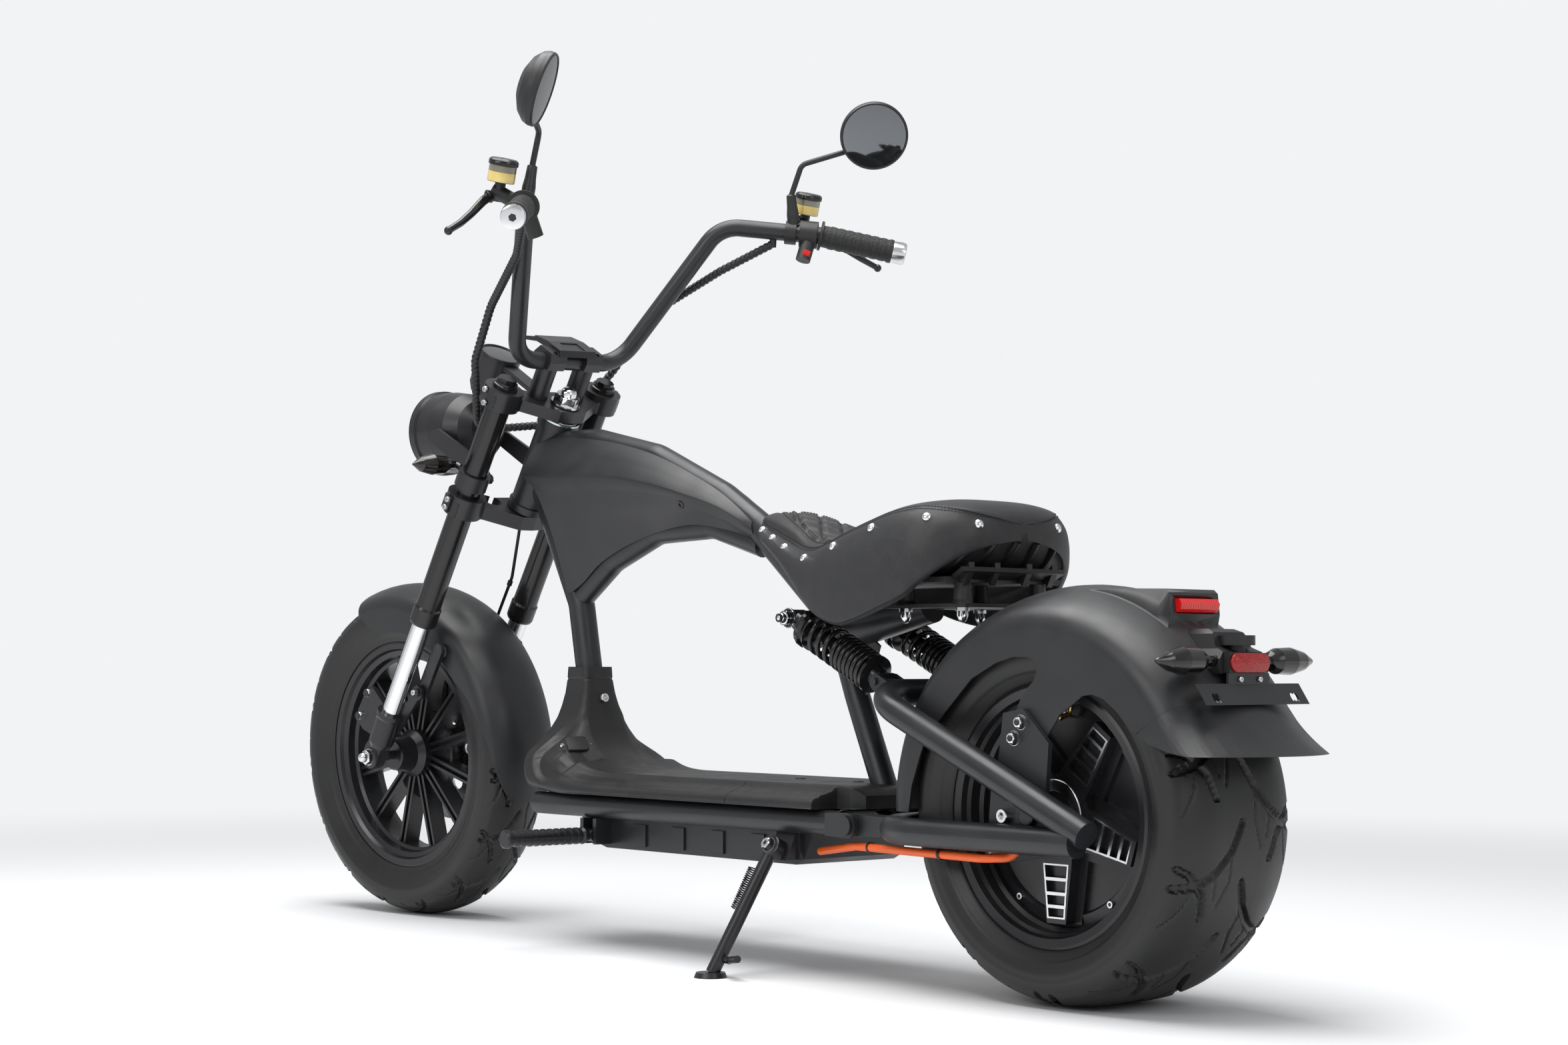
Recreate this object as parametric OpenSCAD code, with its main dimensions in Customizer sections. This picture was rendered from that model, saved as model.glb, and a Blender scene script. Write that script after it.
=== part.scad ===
// Electric chopper scooter, standing on its side stand with the front wheel turned a little to the left.
// Origin on the floor under the middle of the scooter, +X forward, +Y to the rider's left, +Z up. Millimetres.

/* [Wheels] */
// Distance between the two axles with the front wheel straight ahead
wheelbase = 1550; // [1520:5:1580]
// Outer radius of the rear tyre
rear_r = 238.4; // [236:0.2:241]
// Width of the rear tyre
rear_w = 215; // [210:1:217]
// Half width of the flat band on the rear tread
rear_band = 42; // [30:1:55]
// Radius of the rear rim's flange
rear_flange_r = 165.8; // [160:0.2:168]
// Outer radius of the front tyre
front_r = 273.8; // [270:0.2:276]
// Width of the front tyre
front_w = 120; // [114:1:122]
// Radius of the front tread's crown
front_crown = 90; // [80:1:110]
// Radius of the front rim's flange
front_flange_r = 191.7; // [187:0.1:194]
// Spokes in the front wheel
spokes = 12; // [10:1:14]

/* [Steering] */
// Angle of the steering axis from upright
rake = 31.9; // [30:0.1:33]
// Steering angle at rest, to the left
steer_rest = 5.4; // [0:0.1:8]
// Axle's distance ahead of the steering axis
fork_offset = 39; // [36:1:42]
// Distance between the fork legs
leg_gap = 206; // [200:1:212]
// Height of the leg tops above the axle, along the leg
leg_top = 713; // [700:1:730]
// Height of the leg tubes' lower ends above the axle
leg_seal = 266; // [255:1:280]
// Outside diameter of the leg tubes
leg_d = 41; // [38:1:44]
// Diameter of the chrome stanchions
stanchion_d = 32; // [30:1:34]
// Diameter of the handlebar
bar_d = 28; // [26:1:30]

/* [Frame] */
// Diameter of the backbone tube
backbone_d = 45; // [42:1:48]
// Diameter of the down tube
down_d = 42; // [38:1:46]
// Diameter of the arch tube
arch_d = 36; // [33:1:38]
// Diameter of the frame rails
rail_d = 34; // [30:1:36]
// Sideways distance of each frame rail from the middle
rail_y = 106; // [102:1:110]
// Height of the frame rails
rail_z = 212; // [208:1:216]
// Diameter of the swingarm tubes
arm_d = 36; // [32:1:38]
// Sideways distance of each swingarm tube from the middle
arm_y = 142; // [140:1:146]

/* [Deck and seat] */
// Height of the deck's top above the rails' middle
deck_h = 50; // [46:1:54]
// Width of the deck
deck_w = 248; // [240:1:256]
// Overall length of the seat
seat_len = 502; // [480:2:520]
// Width of the seat
seat_w = 300; // [290:1:310]

/* [Side stand] */
// Forward place of the stand's pivot
stand_x = 482; // [470:1:490]
// Height of the stand's pivot
stand_z = 174; // [170:1:178]

/* [Hidden] */
$fn = 48;

// Gap left between pieces that are seated on each other
gap = 0.3;

// Steering axis: the nearest point on it to the front axle
lean = asin(sin(steer_rest) * sin(rake));
axle_dx = fork_offset * cos(steer_rest) * cos(rake);
axle_dz = fork_offset * cos(steer_rest) * sin(rake);
front_axle_z = (front_r - front_crown) * cos(lean) + front_crown;
steer_x = wheelbase - fork_offset * cos(rake);
steer_z = front_axle_z - axle_dz;
leg_x = fork_offset - 4;
leg_y = leg_gap / 2;
fender_r = rear_r + 51.6;
front_fender_r = front_r + 16.2;

// The origin is under the middle of the whole box: tail, front tyre and the two brake levers bound it
tail_turn = 148;
tail_dir = 231.7;
tail_foot = 319;
tail_t = (rear_r + fender_r * sin(tail_turn) - tail_foot) / -sin(tail_dir);
tail_reach = -(fender_r * cos(tail_turn) + tail_t * cos(tail_dir));
front_reach = steer_x + axle_dx + (front_r - front_crown) * sqrt(1 - pow(sin(steer_rest) * cos(rake),
    2)) + front_crown;
mid_x = (front_reach - tail_reach) / 2;
mid_y = -138.2 * sin(steer_rest);
module placed() { translate([-mid_x, -mid_y, 0]) children(); }

// Frame points ahead of the seat move with the wheelbase, those under the neck the whole way
function along(x) = x + (wheelbase - 1550) * min(1, max(0, (x - 560) / 440));
function along_all(points) = [for (p = points) len(p) == 2 ? [along(p.x), p.y] : [along(p.x), p.y, p.z]];
// Point on the steering axis
function head(h) = [steer_x - h * sin(rake), 0, steer_z + h * cos(rake)];

// Vector helpers
function unit(v) = v / norm(v);
function side_of(d) = abs(d.z) < 0.9 ? unit(cross([0, 0, 1], d)) : unit(cross([0, 1, 0], d));
function columns(x, y, z, o) = [[x.x, y.x, z.x, o.x], [x.y, y.y, z.y, o.y], [x.z, y.z, z.z, o.z],
    [0, 0, 0, 1]];

module rod(a, b, d)
{
    dir = unit(b - a);
    sx = side_of(dir);
    multmatrix(columns(sx, cross(dir, sx), dir, a)) cylinder(d = d, h = norm(b - a));
}

// Stepped or tapered turning along a line: rows of distance and diameter
module turned(a, dir, rows, fn = 48)
{
    sx = side_of(dir);
    multmatrix(columns(sx, cross(dir, sx), dir, a)) rotate_extrude($fn = fn)
        polygon(concat([[0, rows[0].x]], [for (r = rows) [r.y / 2, r.x]], [[0, rows[len(rows) - 1].x]]));
}

// Round tube along points, with bends of one radius. A bend is a hair thinner than the straights and
// starts just inside them, as a bent tube's bends are drawn thin
bend_lap = 2;
bend_thin = 0.24;
module tube(points, d, r)
{
    last = len(points) - 1;
    dirs = [for (i = [0 : last - 1]) unit(points[i + 1] - points[i])];
    turns = [for (i = [0 : last]) i == 0 || i == last ? 0 : acos(dirs[i - 1] * dirs[i])];
    cuts = [for (t = turns) r * tan(t / 2)];
    lap = bend_lap / r * 180 / PI;
    for (i = [0 : last - 1])
        rod(points[i] + dirs[i] * cuts[i], points[i + 1] - dirs[i] * cuts[i + 1], d);
    for (i = [1 : last - 1]) {
        u = dirs[i - 1];
        n = unit(dirs[i] - u * (u * dirs[i]));
        multmatrix(columns(-n, u, cross(-n, u), points[i] - u * cuts[i] + n * r)) rotate([0, 0, -lap])
            rotate_extrude(angle = turns[i] + 2 * lap) translate([r, 0]) circle(d = d - bend_thin);
    }
}

// Points along an arc of a flat outline
function arc(c, r, from, to, steps) =
    [for (i = [0 : steps]) let (a = from + (to - from) * i / steps) c + r * [cos(a), sin(a)]];

function mirrored(p) = [p.x, -p.y, p.z];
function both(half) = concat(half, [for (i = [len(half) - 1 : -1 : 0]) mirrored(half[i])]);
// Closed outline from its right half, mirrored about the upright axis
function twin(half) = concat(half, [for (i = [len(half) - 1 : -1 : 0]) if (half[i].x != 0) [-half[i].x,
    half[i].y]]);

// Side view outline, from y - h to y
module slab(y, h) { translate([0, y, 0]) rotate([90, 0, 0]) linear_extrude(height = h) children(); }
// Front view outline, from x to x + h
module beam(x, h) { translate([x, 0, 0]) rotate([90, 0, 90]) linear_extrude(height = h) children(); }

function reversed(list) = [for (i = [len(list) - 1 : -1 : 0]) list[i]];
// Closed skin over rings of points, each running clockwise as seen looking back along the rows. A flat end is
// closed by one face, any other by strips between the ring's two halves
function strip(b, n, i, flip) = let (f = [[b + i, b + i + 1, b + n - 2 - i],
    [b + i, b + n - 2 - i, b + n - 1 - i]])
    flip ? [for (t = f) [t[2], t[1], t[0]]] : f;
module loft(rings, flat = false)
{
    n = len(rings[0]);
    m = len(rings);
    caps = flat ? [[for (j = [n - 1 : -1 : 0]) j], [for (j = [0 : n - 1]) (m - 1) * n + j]] :
        [for (i = [0 : ceil(n / 2) - 2]) for (e = [0, 1])
            for (t = strip(e * (m - 1) * n, n, i,
                e == 0)) if (t[0] != t[1] && t[1] != t[2] && t[0] != t[2]) t];
    polyhedron(points = [for (ring = rings) for (p = ring) p],
        faces = concat(caps,
            [for (i = [0 : m - 2]) for (j = [0 : n - 1]) [i * n + j, i * n + (j + 1) % n, (i + 1) * n + j]],
            [for (i = [0 : m - 2]) for (j = [0 : n - 1])
                [i * n + (j + 1) % n, (i + 1) * n + (j + 1) % n, (i + 1) * n + j]]));
}

module on_steering()
{
    translate([steer_x, 0, steer_z]) rotate([0, -rake, 0]) rotate([0, 0, steer_rest]) children();
}

module pair()
{
    children();
    mirror([0, 1, 0]) children();
}

// Revolve about a wheel's axle, with angles counted from ahead, upwards
module wheel_turn(from = 0, to = 360)
{
    rotate([90, 0, 0]) rotate([0, 0, from]) rotate_extrude(angle = to - from, $fn = 96) children();
}

module at_rear() { translate([0, 0, rear_r]) children(); }
module at_front() { on_steering() translate([fork_offset, 0, 0]) children(); }

// Frame
low_plate = leg_top - 237;
high_plate = leg_top - 41;
head_low = low_plate + 26;
head_high = high_plate - 5;
head_d = 62;
module head_solid(d) { rod(head(head_low), head(head_high), d); }
module head_tube()
{
    color("#26282b") placed() difference() {
        union() {
            head_solid(head_d);
            rod(head(head_low), head(head_low + 12), head_d + 6);
            rod(head(head_high - 12), head(head_high), head_d + 6);
        }
        rod(head(head_low - 1), head(head_high + 1), 32);
    }
}

backbone_points = concat([head(618)], along_all([[1060, 0, 775], [905, 0, 741], [745, 0, 674]]),
    [[655, 0, 622], [468, 0, 468], [300, 0, 505]]);
seat_plate_z = 501;
shock_top = [484, 85, 490];
module backbone()
{
    color("#26282b") placed() {
        difference() {
            tube(backbone_points, backbone_d, 60);
            head_solid(head_d + 2 * gap);
            rod(head(head_high - 12 - gap), head(head_high + 20), head_d + 6 + 2 * gap);
            translate([150, -60, seat_plate_z - gap]) cube([186, 120, 60]);
            rod(shock_top - [0, 200, 0], shock_top + [0, 40, 0], 16);
        }
        rod([shock_top.x, -118, shock_top.z], [shock_top.x, 118, shock_top.z], 12);
        rod([shock_top.x, -69.5, shock_top.z], [shock_top.x, 69.5, shock_top.z], 22);
    }
}

arch_points = along_all([[1098, 0, 530], [1014, 0, 586], [900, 0, 627], [765, 0, 631], [652, 0, 599]]);
module arch_tube()
{
    color("#26282b") placed() difference() {
        tube(arch_points, arch_d, 90);
        tube(down_points, down_d + 2 * gap, 60);
        tube(backbone_points, backbone_d + 2 * gap, 60);
    }
}

cross_x = along(1052);
cross_d = rail_d - 4;
down_points = [head(565), [along(1101), 0, 522], [along(1078), 0, 410], [along(1060), 0, rail_z]];
module down_tube()
{
    color("#26282b") placed() difference() {
        tube(down_points, down_d, 60);
        head_solid(head_d + 2 * gap);
        rod([cross_x, -60, rail_z], [cross_x, 60, rail_z], cross_d + 2 * gap);
    }
}

// Outer face of a side cover: columns from the front edge to the rear tip, rows from top to bottom
cover_columns = [
    [[1186, 24, 788], [1182, 46, 760], [1175, 66, 728], [1149, 60, 703], [1130, 49, 657],
        [1119, 36, 603], [1110, 20, 534]],
    [[1122, 23, 786], [1118, 44, 758], [1114, 65, 721], [1100, 57, 690], [1088, 46, 645],
        [1078, 34, 600], [1072, 19, 553]],
    [[1050, 22, 779], [1050, 43, 753], [1048, 63, 720], [1042, 56, 692], [1036, 45, 656],
        [1030, 34, 622], [1025, 19, 583]],
    [[970, 22, 766], [970, 41, 743], [968, 60, 715], [965, 53, 692], [962, 44, 664], [960, 33, 640],
        [958, 19, 608]],
    [[884, 22, 744], [884, 38, 726], [882, 55, 702], [880, 49, 684], [878, 41, 664], [876, 31, 647],
        [875, 19, 627]],
    [[801, 22, 713], [800, 35, 700], [798, 49, 682], [797, 44, 671], [796, 37, 659], [796, 29, 648],
        [796, 19, 634]],
    [[720, 22, 676], [720, 31, 668], [719, 39, 658], [719, 35, 650], [718, 31, 642], [718, 25, 634],
        [718, 18, 624]],
    [[656, 21, 634], [655, 23, 629], [654, 24, 624], [653, 24, 620], [652, 23, 616], [652, 21, 612],
        [652, 17, 608]]];
cover_wall = 3.5;
module side_covers()
{
    rings = [for (c = cover_columns) concat([for (p = c) [along(p.x), p.y, p.z]],
        [for (i = [len(c) - 1 : -1 : 0]) [along(c[i].x), c[i].y - cover_wall, c[i].z]])];
    color("#232527") placed() difference() {
        pair() difference() {
            loft(reversed(rings));
            for (p = [[1072, 585, 29], [773, 652, 26]])
                translate([along(p.x), 12, p.y]) rotate([-90, 0, 0]) cylinder(d = 9, h = 40);
        }
        tube(backbone_points, backbone_d + 2 * gap, 60);
        tube(arch_points, arch_d + 2 * gap, 90);
        tube(down_points, down_d + 2 * gap, 60);
        head_solid(head_d + 6 + 2 * gap);
        translate([along(640), -18.6, 590]) cube([50, 37.2, 50]);
    }
}

// Deck: floor section across, with a ledge over each frame rail
deck_top = rail_z + deck_h;
ledge_z = rail_z + rail_d / 2 + gap;
rail_in = rail_y - rail_d / 2 - gap;
seam_x = 585;
floor_half = [[0, deck_top - 39.5], [rail_in, deck_top - 39.5], [rail_in, ledge_z], [deck_w / 2, ledge_z],
    [deck_w / 2 - 2, deck_top - 26], [deck_w / 2 - 16, deck_top - 18], [deck_w / 2 - 32, deck_top - 12],
    [deck_w / 2 - 44, deck_top], [0, deck_top]];
neck_half = [[0, 222.5], [rail_in, 222.5], [rail_in, ledge_z], [122, ledge_z], [122, 245], [118, 266],
    [113, 280],
    [108, 289], [97, 294], [80, 303], [60, 319], [46, 337], [37, 356], [31, 376], [28, 396], [27, 422],
        [0, 422]];
neck_rear = [[860, 222.5], [860, 261], [915, 263], [945, 267], [970, 274], [992, 284], [1010, 297],
    [1024, 315],
    [1034, 338], [1041, 364], [1045, 390], [1046, 422]];
neck_front = [[1113, 422], [1115, 400], [1118, 350], [1119, 300], [1114, 262], [1105, 235], [1092, 222.5]];
dish_half = [[0, 240], [88, 240], [92, 262], [88, 274], [68, 287], [50, 302], [36, 322], [27, 346],
    [20, 366], [10, 378], [0, 380]];
module deck_front()
{
    rear_line = along_all([for (i = [1 : len(neck_rear) - 1]) neck_rear[i]]);
    color("#1f2022") placed() difference() {
        union() {
            beam(seam_x, along(1000) - seam_x) polygon(twin(floor_half));
            intersection() {
                slab(130, 260) polygon(along_all(concat(neck_rear, neck_front)));
                beam(along(850), 300) polygon(twin(neck_half));
            }
        }
        intersection() {
            slab(130, 260) polygon(concat([for (p = rear_line) p + [-20, 20]],
                [for (i = [len(rear_line) - 1 : -1 : 0]) rear_line[i] + [5, -6]]));
            beam(along(925), 200) polygon(twin(dish_half));
        }
        tube(down_points, down_d + 2 * gap, 60);
        rod([cross_x, -130, rail_z], [cross_x, 130, rail_z], cross_d + 2 * gap);
        translate([along(1000), 0, 0]) pair() rod([0, rail_y, rail_z], [140, rail_y, rail_z],
            rail_d + 2 * gap);
    }
}

deck_tail = 350;
stay_slot = 72;
pivot_x = 330;
module deck_rear()
{
    color("#1f2022") placed() difference() {
        beam(deck_tail, seam_x - 2 * gap - deck_tail) polygon(twin(floor_half));
        translate([deck_tail - 10, -26, 200]) cube([10 + stay_slot, 52, 100]);
        pair() {
            slab(130, 54) polygon(arc([pivot_x + 8, rail_z], 42, 0, 360, 40));
            translate([seam_x - 26, 40, deck_top - 4]) cylinder(d = 8, h = 20);
            translate([seam_x - 8, 62, deck_top - 20]) cylinder(d = 9, h = 40);
        }
        rod([374, -130, rail_z], [374, 130, rail_z], 28 + 2 * gap);
    }
}

// Battery box under the floor, with the foot pegs' brackets and the stand's bracket
box_profile = [[440, 194.5], [458, 158], [474, 150], [908, 150], [940, 158], [972, 194.5]];
peg_x = 918;
peg_z = 183;
stand_foot = [522, 205, 8];
stand_tilt = atan2(stand_foot.y - 120.4, stand_z - stand_foot.z);
module battery_box()
{
    outline = along_all(box_profile);
    color("#242629") placed() difference() {
        union() {
            slab(92, 184) polygon(outline);
            translate([448, -rail_in, 190]) cube([along(960) - 448, 2 * rail_in, deck_top - 40.3 - 190]);
            pair() {
                for (x = [540 : 90 : 850])
                    translate([along(x), 90, 156]) cube([30, 5, 32]);
                translate([along(peg_x) - 20, 90, 156]) cube([40, 30, 38.2]);
            }
            translate([stand_x - 24, 90, 158]) cube([48, 10, 36]);
            translate([stand_x - 20, 99, stand_z - 16]) cube([40, 24, 36.6]);
        }
        pair() translate([along(peg_x) - 12, 103.5, 150]) cube([24, 25, 60]);
        translate([stand_x, 126, stand_z]) rotate([stand_tilt, 0, 0]) translate([-30, -10.4 - gap, -40])
            cube([60, 60, 80]);
    }
    color("#242629") placed() pair()
        rod([along(peg_x) - 18, 114, peg_z - 14], [along(peg_x) + 18, 114, peg_z - 14], 8);
}

stay_x = 374;
stay_points = [[stay_x, 0, rail_z], [450, 0, 381], [487, 0, 475]];
module frame_rails()
{
    color("#26282b") placed() {
        pair() {
            rod([362, rail_y, rail_z], [along(1064), rail_y, rail_z], rail_d);
            for (y = [rail_y - 25, rail_y + 19]) slab(y + 6, 6) polygon(concat([[372, rail_z - 15]],
                [[372, rail_z + 15]], arc([pivot_x, rail_z], 17, 90, 270, 16)));
            slab(rail_y + 20, 40) polygon([[356, rail_z - 14], [372, rail_z - 14], [372, rail_z + 14],
                [356, rail_z + 14]]);
            rod([pivot_x, rail_y - 30, rail_z], [pivot_x, rail_y + 30, rail_z], 14);
            rod([pivot_x, rail_y + 24, rail_z], [pivot_x, rail_y + 30, rail_z], 26);
        }
        rod([cross_x, -rail_y, rail_z], [cross_x, rail_y, rail_z], cross_d);
        difference() {
            rod([stay_x, -rail_y, rail_z], [stay_x, rail_y, rail_z], 28);
            tube(stay_points, arm_d + 2 * gap, 60);
        }
        rod([stay_x, -20, rail_z - 2], [stay_x, 20, rail_z - 2], 12);
    }
}

module seat_stay()
{
    color("#26282b") placed() difference() {
        union() {
            tube(stay_points, arm_d, 60);
            slab(2.5, 5) polygon([[436, 372], [404, 452], [418, 462], [462, 452], [476, 420]]);
        }
        tube(backbone_points, backbone_d + 2 * gap, 60);
        rod(shock_top - [0, 200, 0], shock_top + [0, 40, 0], 22 + 2 * gap);
        rod([stay_x, -30, rail_z - 2], [stay_x, 30, rail_z - 2], 12 + 2 * gap);
        translate([stay_x - 40, -30, rail_z - 60]) cube([80, 60, 46]);
    }
}

// Seat: plate on the frame, pan on four bosses, pad over the pan
boss_top = 533;
bosses = [[171, 70], [278, 70]];
module seat_bracket()
{
    color("#1c1d1f") placed() {
        difference() {
            slab(82, 164) polygon([[154, seat_plate_z], [310, seat_plate_z], [310, seat_plate_z + 5],
                [154, seat_plate_z + 5]]);
            for (y = [-1, 1]) translate([0, y * 44, 0]) slab(12, 24) polygon([[190, 490], [256, 490],
                [256, 520], [190, 520]]);
        }
        pair() for (b = bosses) {
            turned([b.x, b.y, seat_plate_z + 4], [0, 0, 1], [[0, 30], [6, 24],
                [boss_top - seat_plate_z - 4, 22]]);
            turned([b.x, b.y, seat_plate_z + 1], [0, 0, -1], [[0, 18], [4, 18], [4.5, 14], [12, 13],
                [17, 8], [18.5, 3]]);
        }
    }
}

seat_rear = 632 - seat_len;
pan_z = boss_top + gap;
module seat_pan()
{
    color("#18191b") placed() {
        slab(108, 216) polygon([[seat_rear + 34, pan_z], [425, pan_z], [425, pan_z + 7],
            [seat_rear + 34, pan_z + 7]]);
        for (y = [-78, -30, 30, 78]) translate([0, y, 0]) slab(5, 10)
            polygon([[seat_rear + 16, pan_z + 14], [seat_rear + 26, pan_z - 4], [seat_rear + 29, pan_z + 1],
                [seat_rear + 40, pan_z + 1], [seat_rear + 40, pan_z + 6], [seat_rear + 16, pan_z + 26]]);
        slab(95, 190) polygon([[seat_rear + 14, pan_z + 14], [seat_rear + 40, pan_z + 1],
            [seat_rear + 40, pan_z + 7],
            [seat_rear + 17, pan_z + 20]]);
    }
}

// Seat sections from rear to nose: place, half width, side edge, underside, shoulder, top at the middle
seat_sections = [
    [130, 92, 571, 590, 600, 606],
    [140, 116, 560, 578, 612, 622],
    [165, 133, 545, 555, 620, 635],
    [205, 145, 516, 545, 622, 641],
    [250, 150, 500, 543, 616, 640],
    [295, 151, 486, 543, 606, 633],
    [335, 148, 480, 543, 597, 622],
    [385, 138, 490, 543, 586, 606],
    [425, 124, 508, 543, 580, 599],
    [465, 109, 532, 553, 582, 604],
    [510, 92, 559, 569, 594, 624],
    [555, 75, 582, 588, 608, 638],
    [595, 58, 600, 604, 620, 645],
    [620, 40, 613, 616, 628, 644],
    [632, 18, 624, 626, 632, 640]];
function seat_ring(s) = let (w = s[1] * seat_w / 302,
    x = s[0] < 400 ? 400 - (400 - s[0]) * (400 - seat_rear) / 270 : s[0],
    e = s[2], u = s[3], h = s[4], t = s[5], half = [[0, u], [w * 0.6, u], [w - 18, min(u, e + 40)],
        [w - 12, e + 2],
    [w - 5, e], [w, e + 8], [w + 1, (e + h) / 2], [w - 2, h - 8], [w - 9, h + 1],
        [w * 0.72, (h + t) / 2 + 4],
    [w * 0.4, t - 1], [0, t]])
    concat([for (p = half) [x, p.x, p.y]], [for (i = [len(half) - 2 : -1 : 1]) [x, -half[i].x, half[i].y]]);
module seat_pad()
{
    color("#1b1c1e") placed() difference() {
        loft(reversed([for (s = seat_sections) seat_ring(s)]), flat = true);
        slab(112, 224) polygon([[0, pan_z - 40], [430, pan_z - 40], [430, pan_z + 7 + gap],
            [seat_rear + 44, pan_z + 7 + gap],
            [seat_rear + 18, pan_z + 28], [0, pan_z + 60]]);
        tube(backbone_points, backbone_d + 1, 60);
    }
}

// Shocks, each between a stud on the backbone and lugs on the swingarm
shock_low = [303, 85, 403];
shock_dir = unit(shock_low - shock_top);
shock_len = norm(shock_low - shock_top);
spring_from = 50;
spring_to = shock_len - 26;
module shocks()
{
    color("#141516") placed() pair() {
        difference() {
            union() {
                turned(shock_top, shock_dir, [[0, 18], [10, 30], [26, 32], [30, 52], [36, 54], [40, 44],
                    [46, 44], [46.5, 54],
                    [spring_from - gap, 54]]);
                rod(shock_top + shock_dir * (spring_from - 2), shock_top + shock_dir * (spring_to + 2), 20);
                turned(shock_top + shock_dir * (spring_to + gap), shock_dir, [[0, 54], [5, 54], [8, 30],
                    [18, 26], [20, 18]]);
                for (p = [shock_top, shock_low]) rod(p - [0, 12.7, 0], p + [0, 12.7, 0], 24);
                turned(shock_top + [0, 12, 0], [0, 1, 0], [[0, 26], [3.4, 26], [3.5, 20], [11.4, 20]]);
            }
            rod(shock_top - [0, 20, 0], shock_top + [0, 40, 0], 12 + 2 * gap);
            rod(shock_low - [0, 20, 0], shock_low + [0, 20, 0], 10 + 2 * gap);
        }
    }
}

// Coil spring, wide turns at the top and tight ones at the bottom, its ends resting on the seats
wire_d = 7.6;
coil_d = 46;
wide_turns = 3.5;
tight_turns = 6.5;
coil_steps = 14;
function coil_at(t) = t <= wide_turns ? t / wide_turns * 0.5 : 0.5 + (t - wide_turns) / tight_turns * 0.5;
module coil(a, dir, length)
{
    steps = round((wide_turns + tight_turns) * coil_steps);
    sx = side_of(dir);
    multmatrix(columns(sx, cross(dir, sx), dir, a)) loft([for (i = [0 : steps])
        let (t = i / coil_steps, z = wire_d / 2 + coil_at(t) * (length - wire_d), turn = [cos(t * 360),
            sin(t * 360), 0])
        [for (k = [0 : 6]) turn * (coil_d / 2 + wire_d / 2 * cos(k * 360 / 7)) + [0, 0,
            z + wire_d / 2 * sin(k * 360 / 7)]]]);
}

module shock_springs()
{
    color("#101112") placed() pair() coil(shock_top + shock_dir * spring_from, shock_dir,
        spring_to - spring_from);
}

// Swingarm: an upper and a lower loop that meet behind the axle
arm_low_points = both([[-96, arm_y, rail_z - 1], [pivot_x - 43, arm_y, rail_z - 1]]);
arm_high_points = both([[-112, arm_y, 221], [274, arm_y, 389]]);
tab_y = 119.7;
module swingarm_upper()
{
    color("#26282b") placed() difference() {
        union() {
            difference() {
                tube(arm_high_points, arm_d, 62);
                tube(arm_low_points, arm_d + 2 * gap, 100);
            }
            pair() {
                difference() {
                    slab(tab_y + 7.3, 7) polygon([[-30, 262], [52, 296], [42, 366], [8, 372], [-36, 330]]);
                    tube(arm_low_points, arm_d + 2 * gap, 100);
                    for (p = [[10, 355], [22, 335]]) rod([p.x, tab_y - 9, p.y], [p.x, tab_y + 9, p.y],
                        8 + 2 * gap);
                }
                for (y = [shock_low.y - 18.5, shock_low.y + 13.5]) slab(y + 5, 5) polygon(concat([[268,
                    378], [286, 374]],
                    arc([shock_low.x, shock_low.z], 11, -60, 110, 10), [[272, 400]]));
                rod(shock_low - [0, 22, 0], shock_low + [0, 22, 0], 10);
            }
        }
        pair() translate([-132, 80, 180]) rotate([0, -52, 0]) translate([-60, 0, -80]) cube([60, 120, 260]);
    }
}

bush_d = 34;
module swingarm_lower()
{
    color("#26282b") placed() {
        difference() {
            union() {
                tube(arm_low_points, arm_d, 100);
                pair() {
                    rod([pivot_x, rail_y - 18.5, rail_z], [pivot_x, rail_y + 18.5, rail_z], bush_d - 2);
                    slab(rail_y + 15, 30) polygon([[274, rail_z - 13], [pivot_x, rail_z - 15],
                        [pivot_x, rail_z + 15], [250, rail_z + 13]]);
                }
            }
            rod([pivot_x, -200, rail_z], [pivot_x, 200, rail_z], 14 + 2 * gap);
            pair() translate([-132, 80, 180]) rotate([0, -52, 0]) translate([-60, 0, -80]) cube([60, 120,
                260]);
        }
    }
}

axle_d = 16;
module rear_axle()
{
    color("#2a2b2d") placed() {
        rod([0, -131, rear_r], [0, 131, rear_r], axle_d);
        pair() {
            slab(arm_y - arm_d / 2 - gap, 6) polygon([[-44, 213], [2, 210], [6, 217], [34, 217],
                [38, 208], [62, 214], [70, 232], [64, 292], [36, 279], [-28, 251]]);
            turned([0, arm_y - arm_d / 2 - 6 - gap, rear_r], [0, -1, 0], [[0, 40], [6, 40], [12, 30],
                [20, 26]]);
            turned([0, arm_y - arm_d / 2 - gap, rear_r], [0, 1, 0], [[-1, 24], [7, 24], [8, 20]]);
            turned([40, arm_y - arm_d / 2 - 5, 238], [0, -1, 0], [[0, 17], [9, 17], [10, 13]]);
        }
    }
}

// Half section of a fender, radius first: crown, shoulder and side wall
function fender_half(r, w, inner, crown, shoulder) =
    let (a = asin((w / 2 - shoulder) / (crown - shoulder)))
    concat(arc([r - crown, 0], crown, 0, a, 6),
        arc([r - crown + (crown - shoulder) * cos(a), w / 2 - shoulder], shoulder, a, 90, 6),
        [[inner, w / 2]]);
module fender_section(r, w, inner, crown, shoulder, wall)
{
    out = fender_half(r, w, inner, crown, shoulder);
    in = fender_half(r - wall, w - 2 * wall, inner, crown - wall, shoulder - wall);
    last = len(out) - 1;
    polygon(concat([for (p = out) p], [for (i = [last : -1 : 0]) in[i]],
        [for (i = [1 : last]) [in[i].x, -in[i].y]], [for (i = [last : -1 : 1]) [out[i].x, -out[i].y]]));
}
module fender_fill(r, w, crown, shoulder)
{
    out = fender_half(r, w, r - 90, crown, shoulder);
    last = len(out) - 1;
    polygon(concat([for (p = out) p], [for (i = [last : -1 : 1]) [out[i].x, -out[i].y]]));
}

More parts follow.
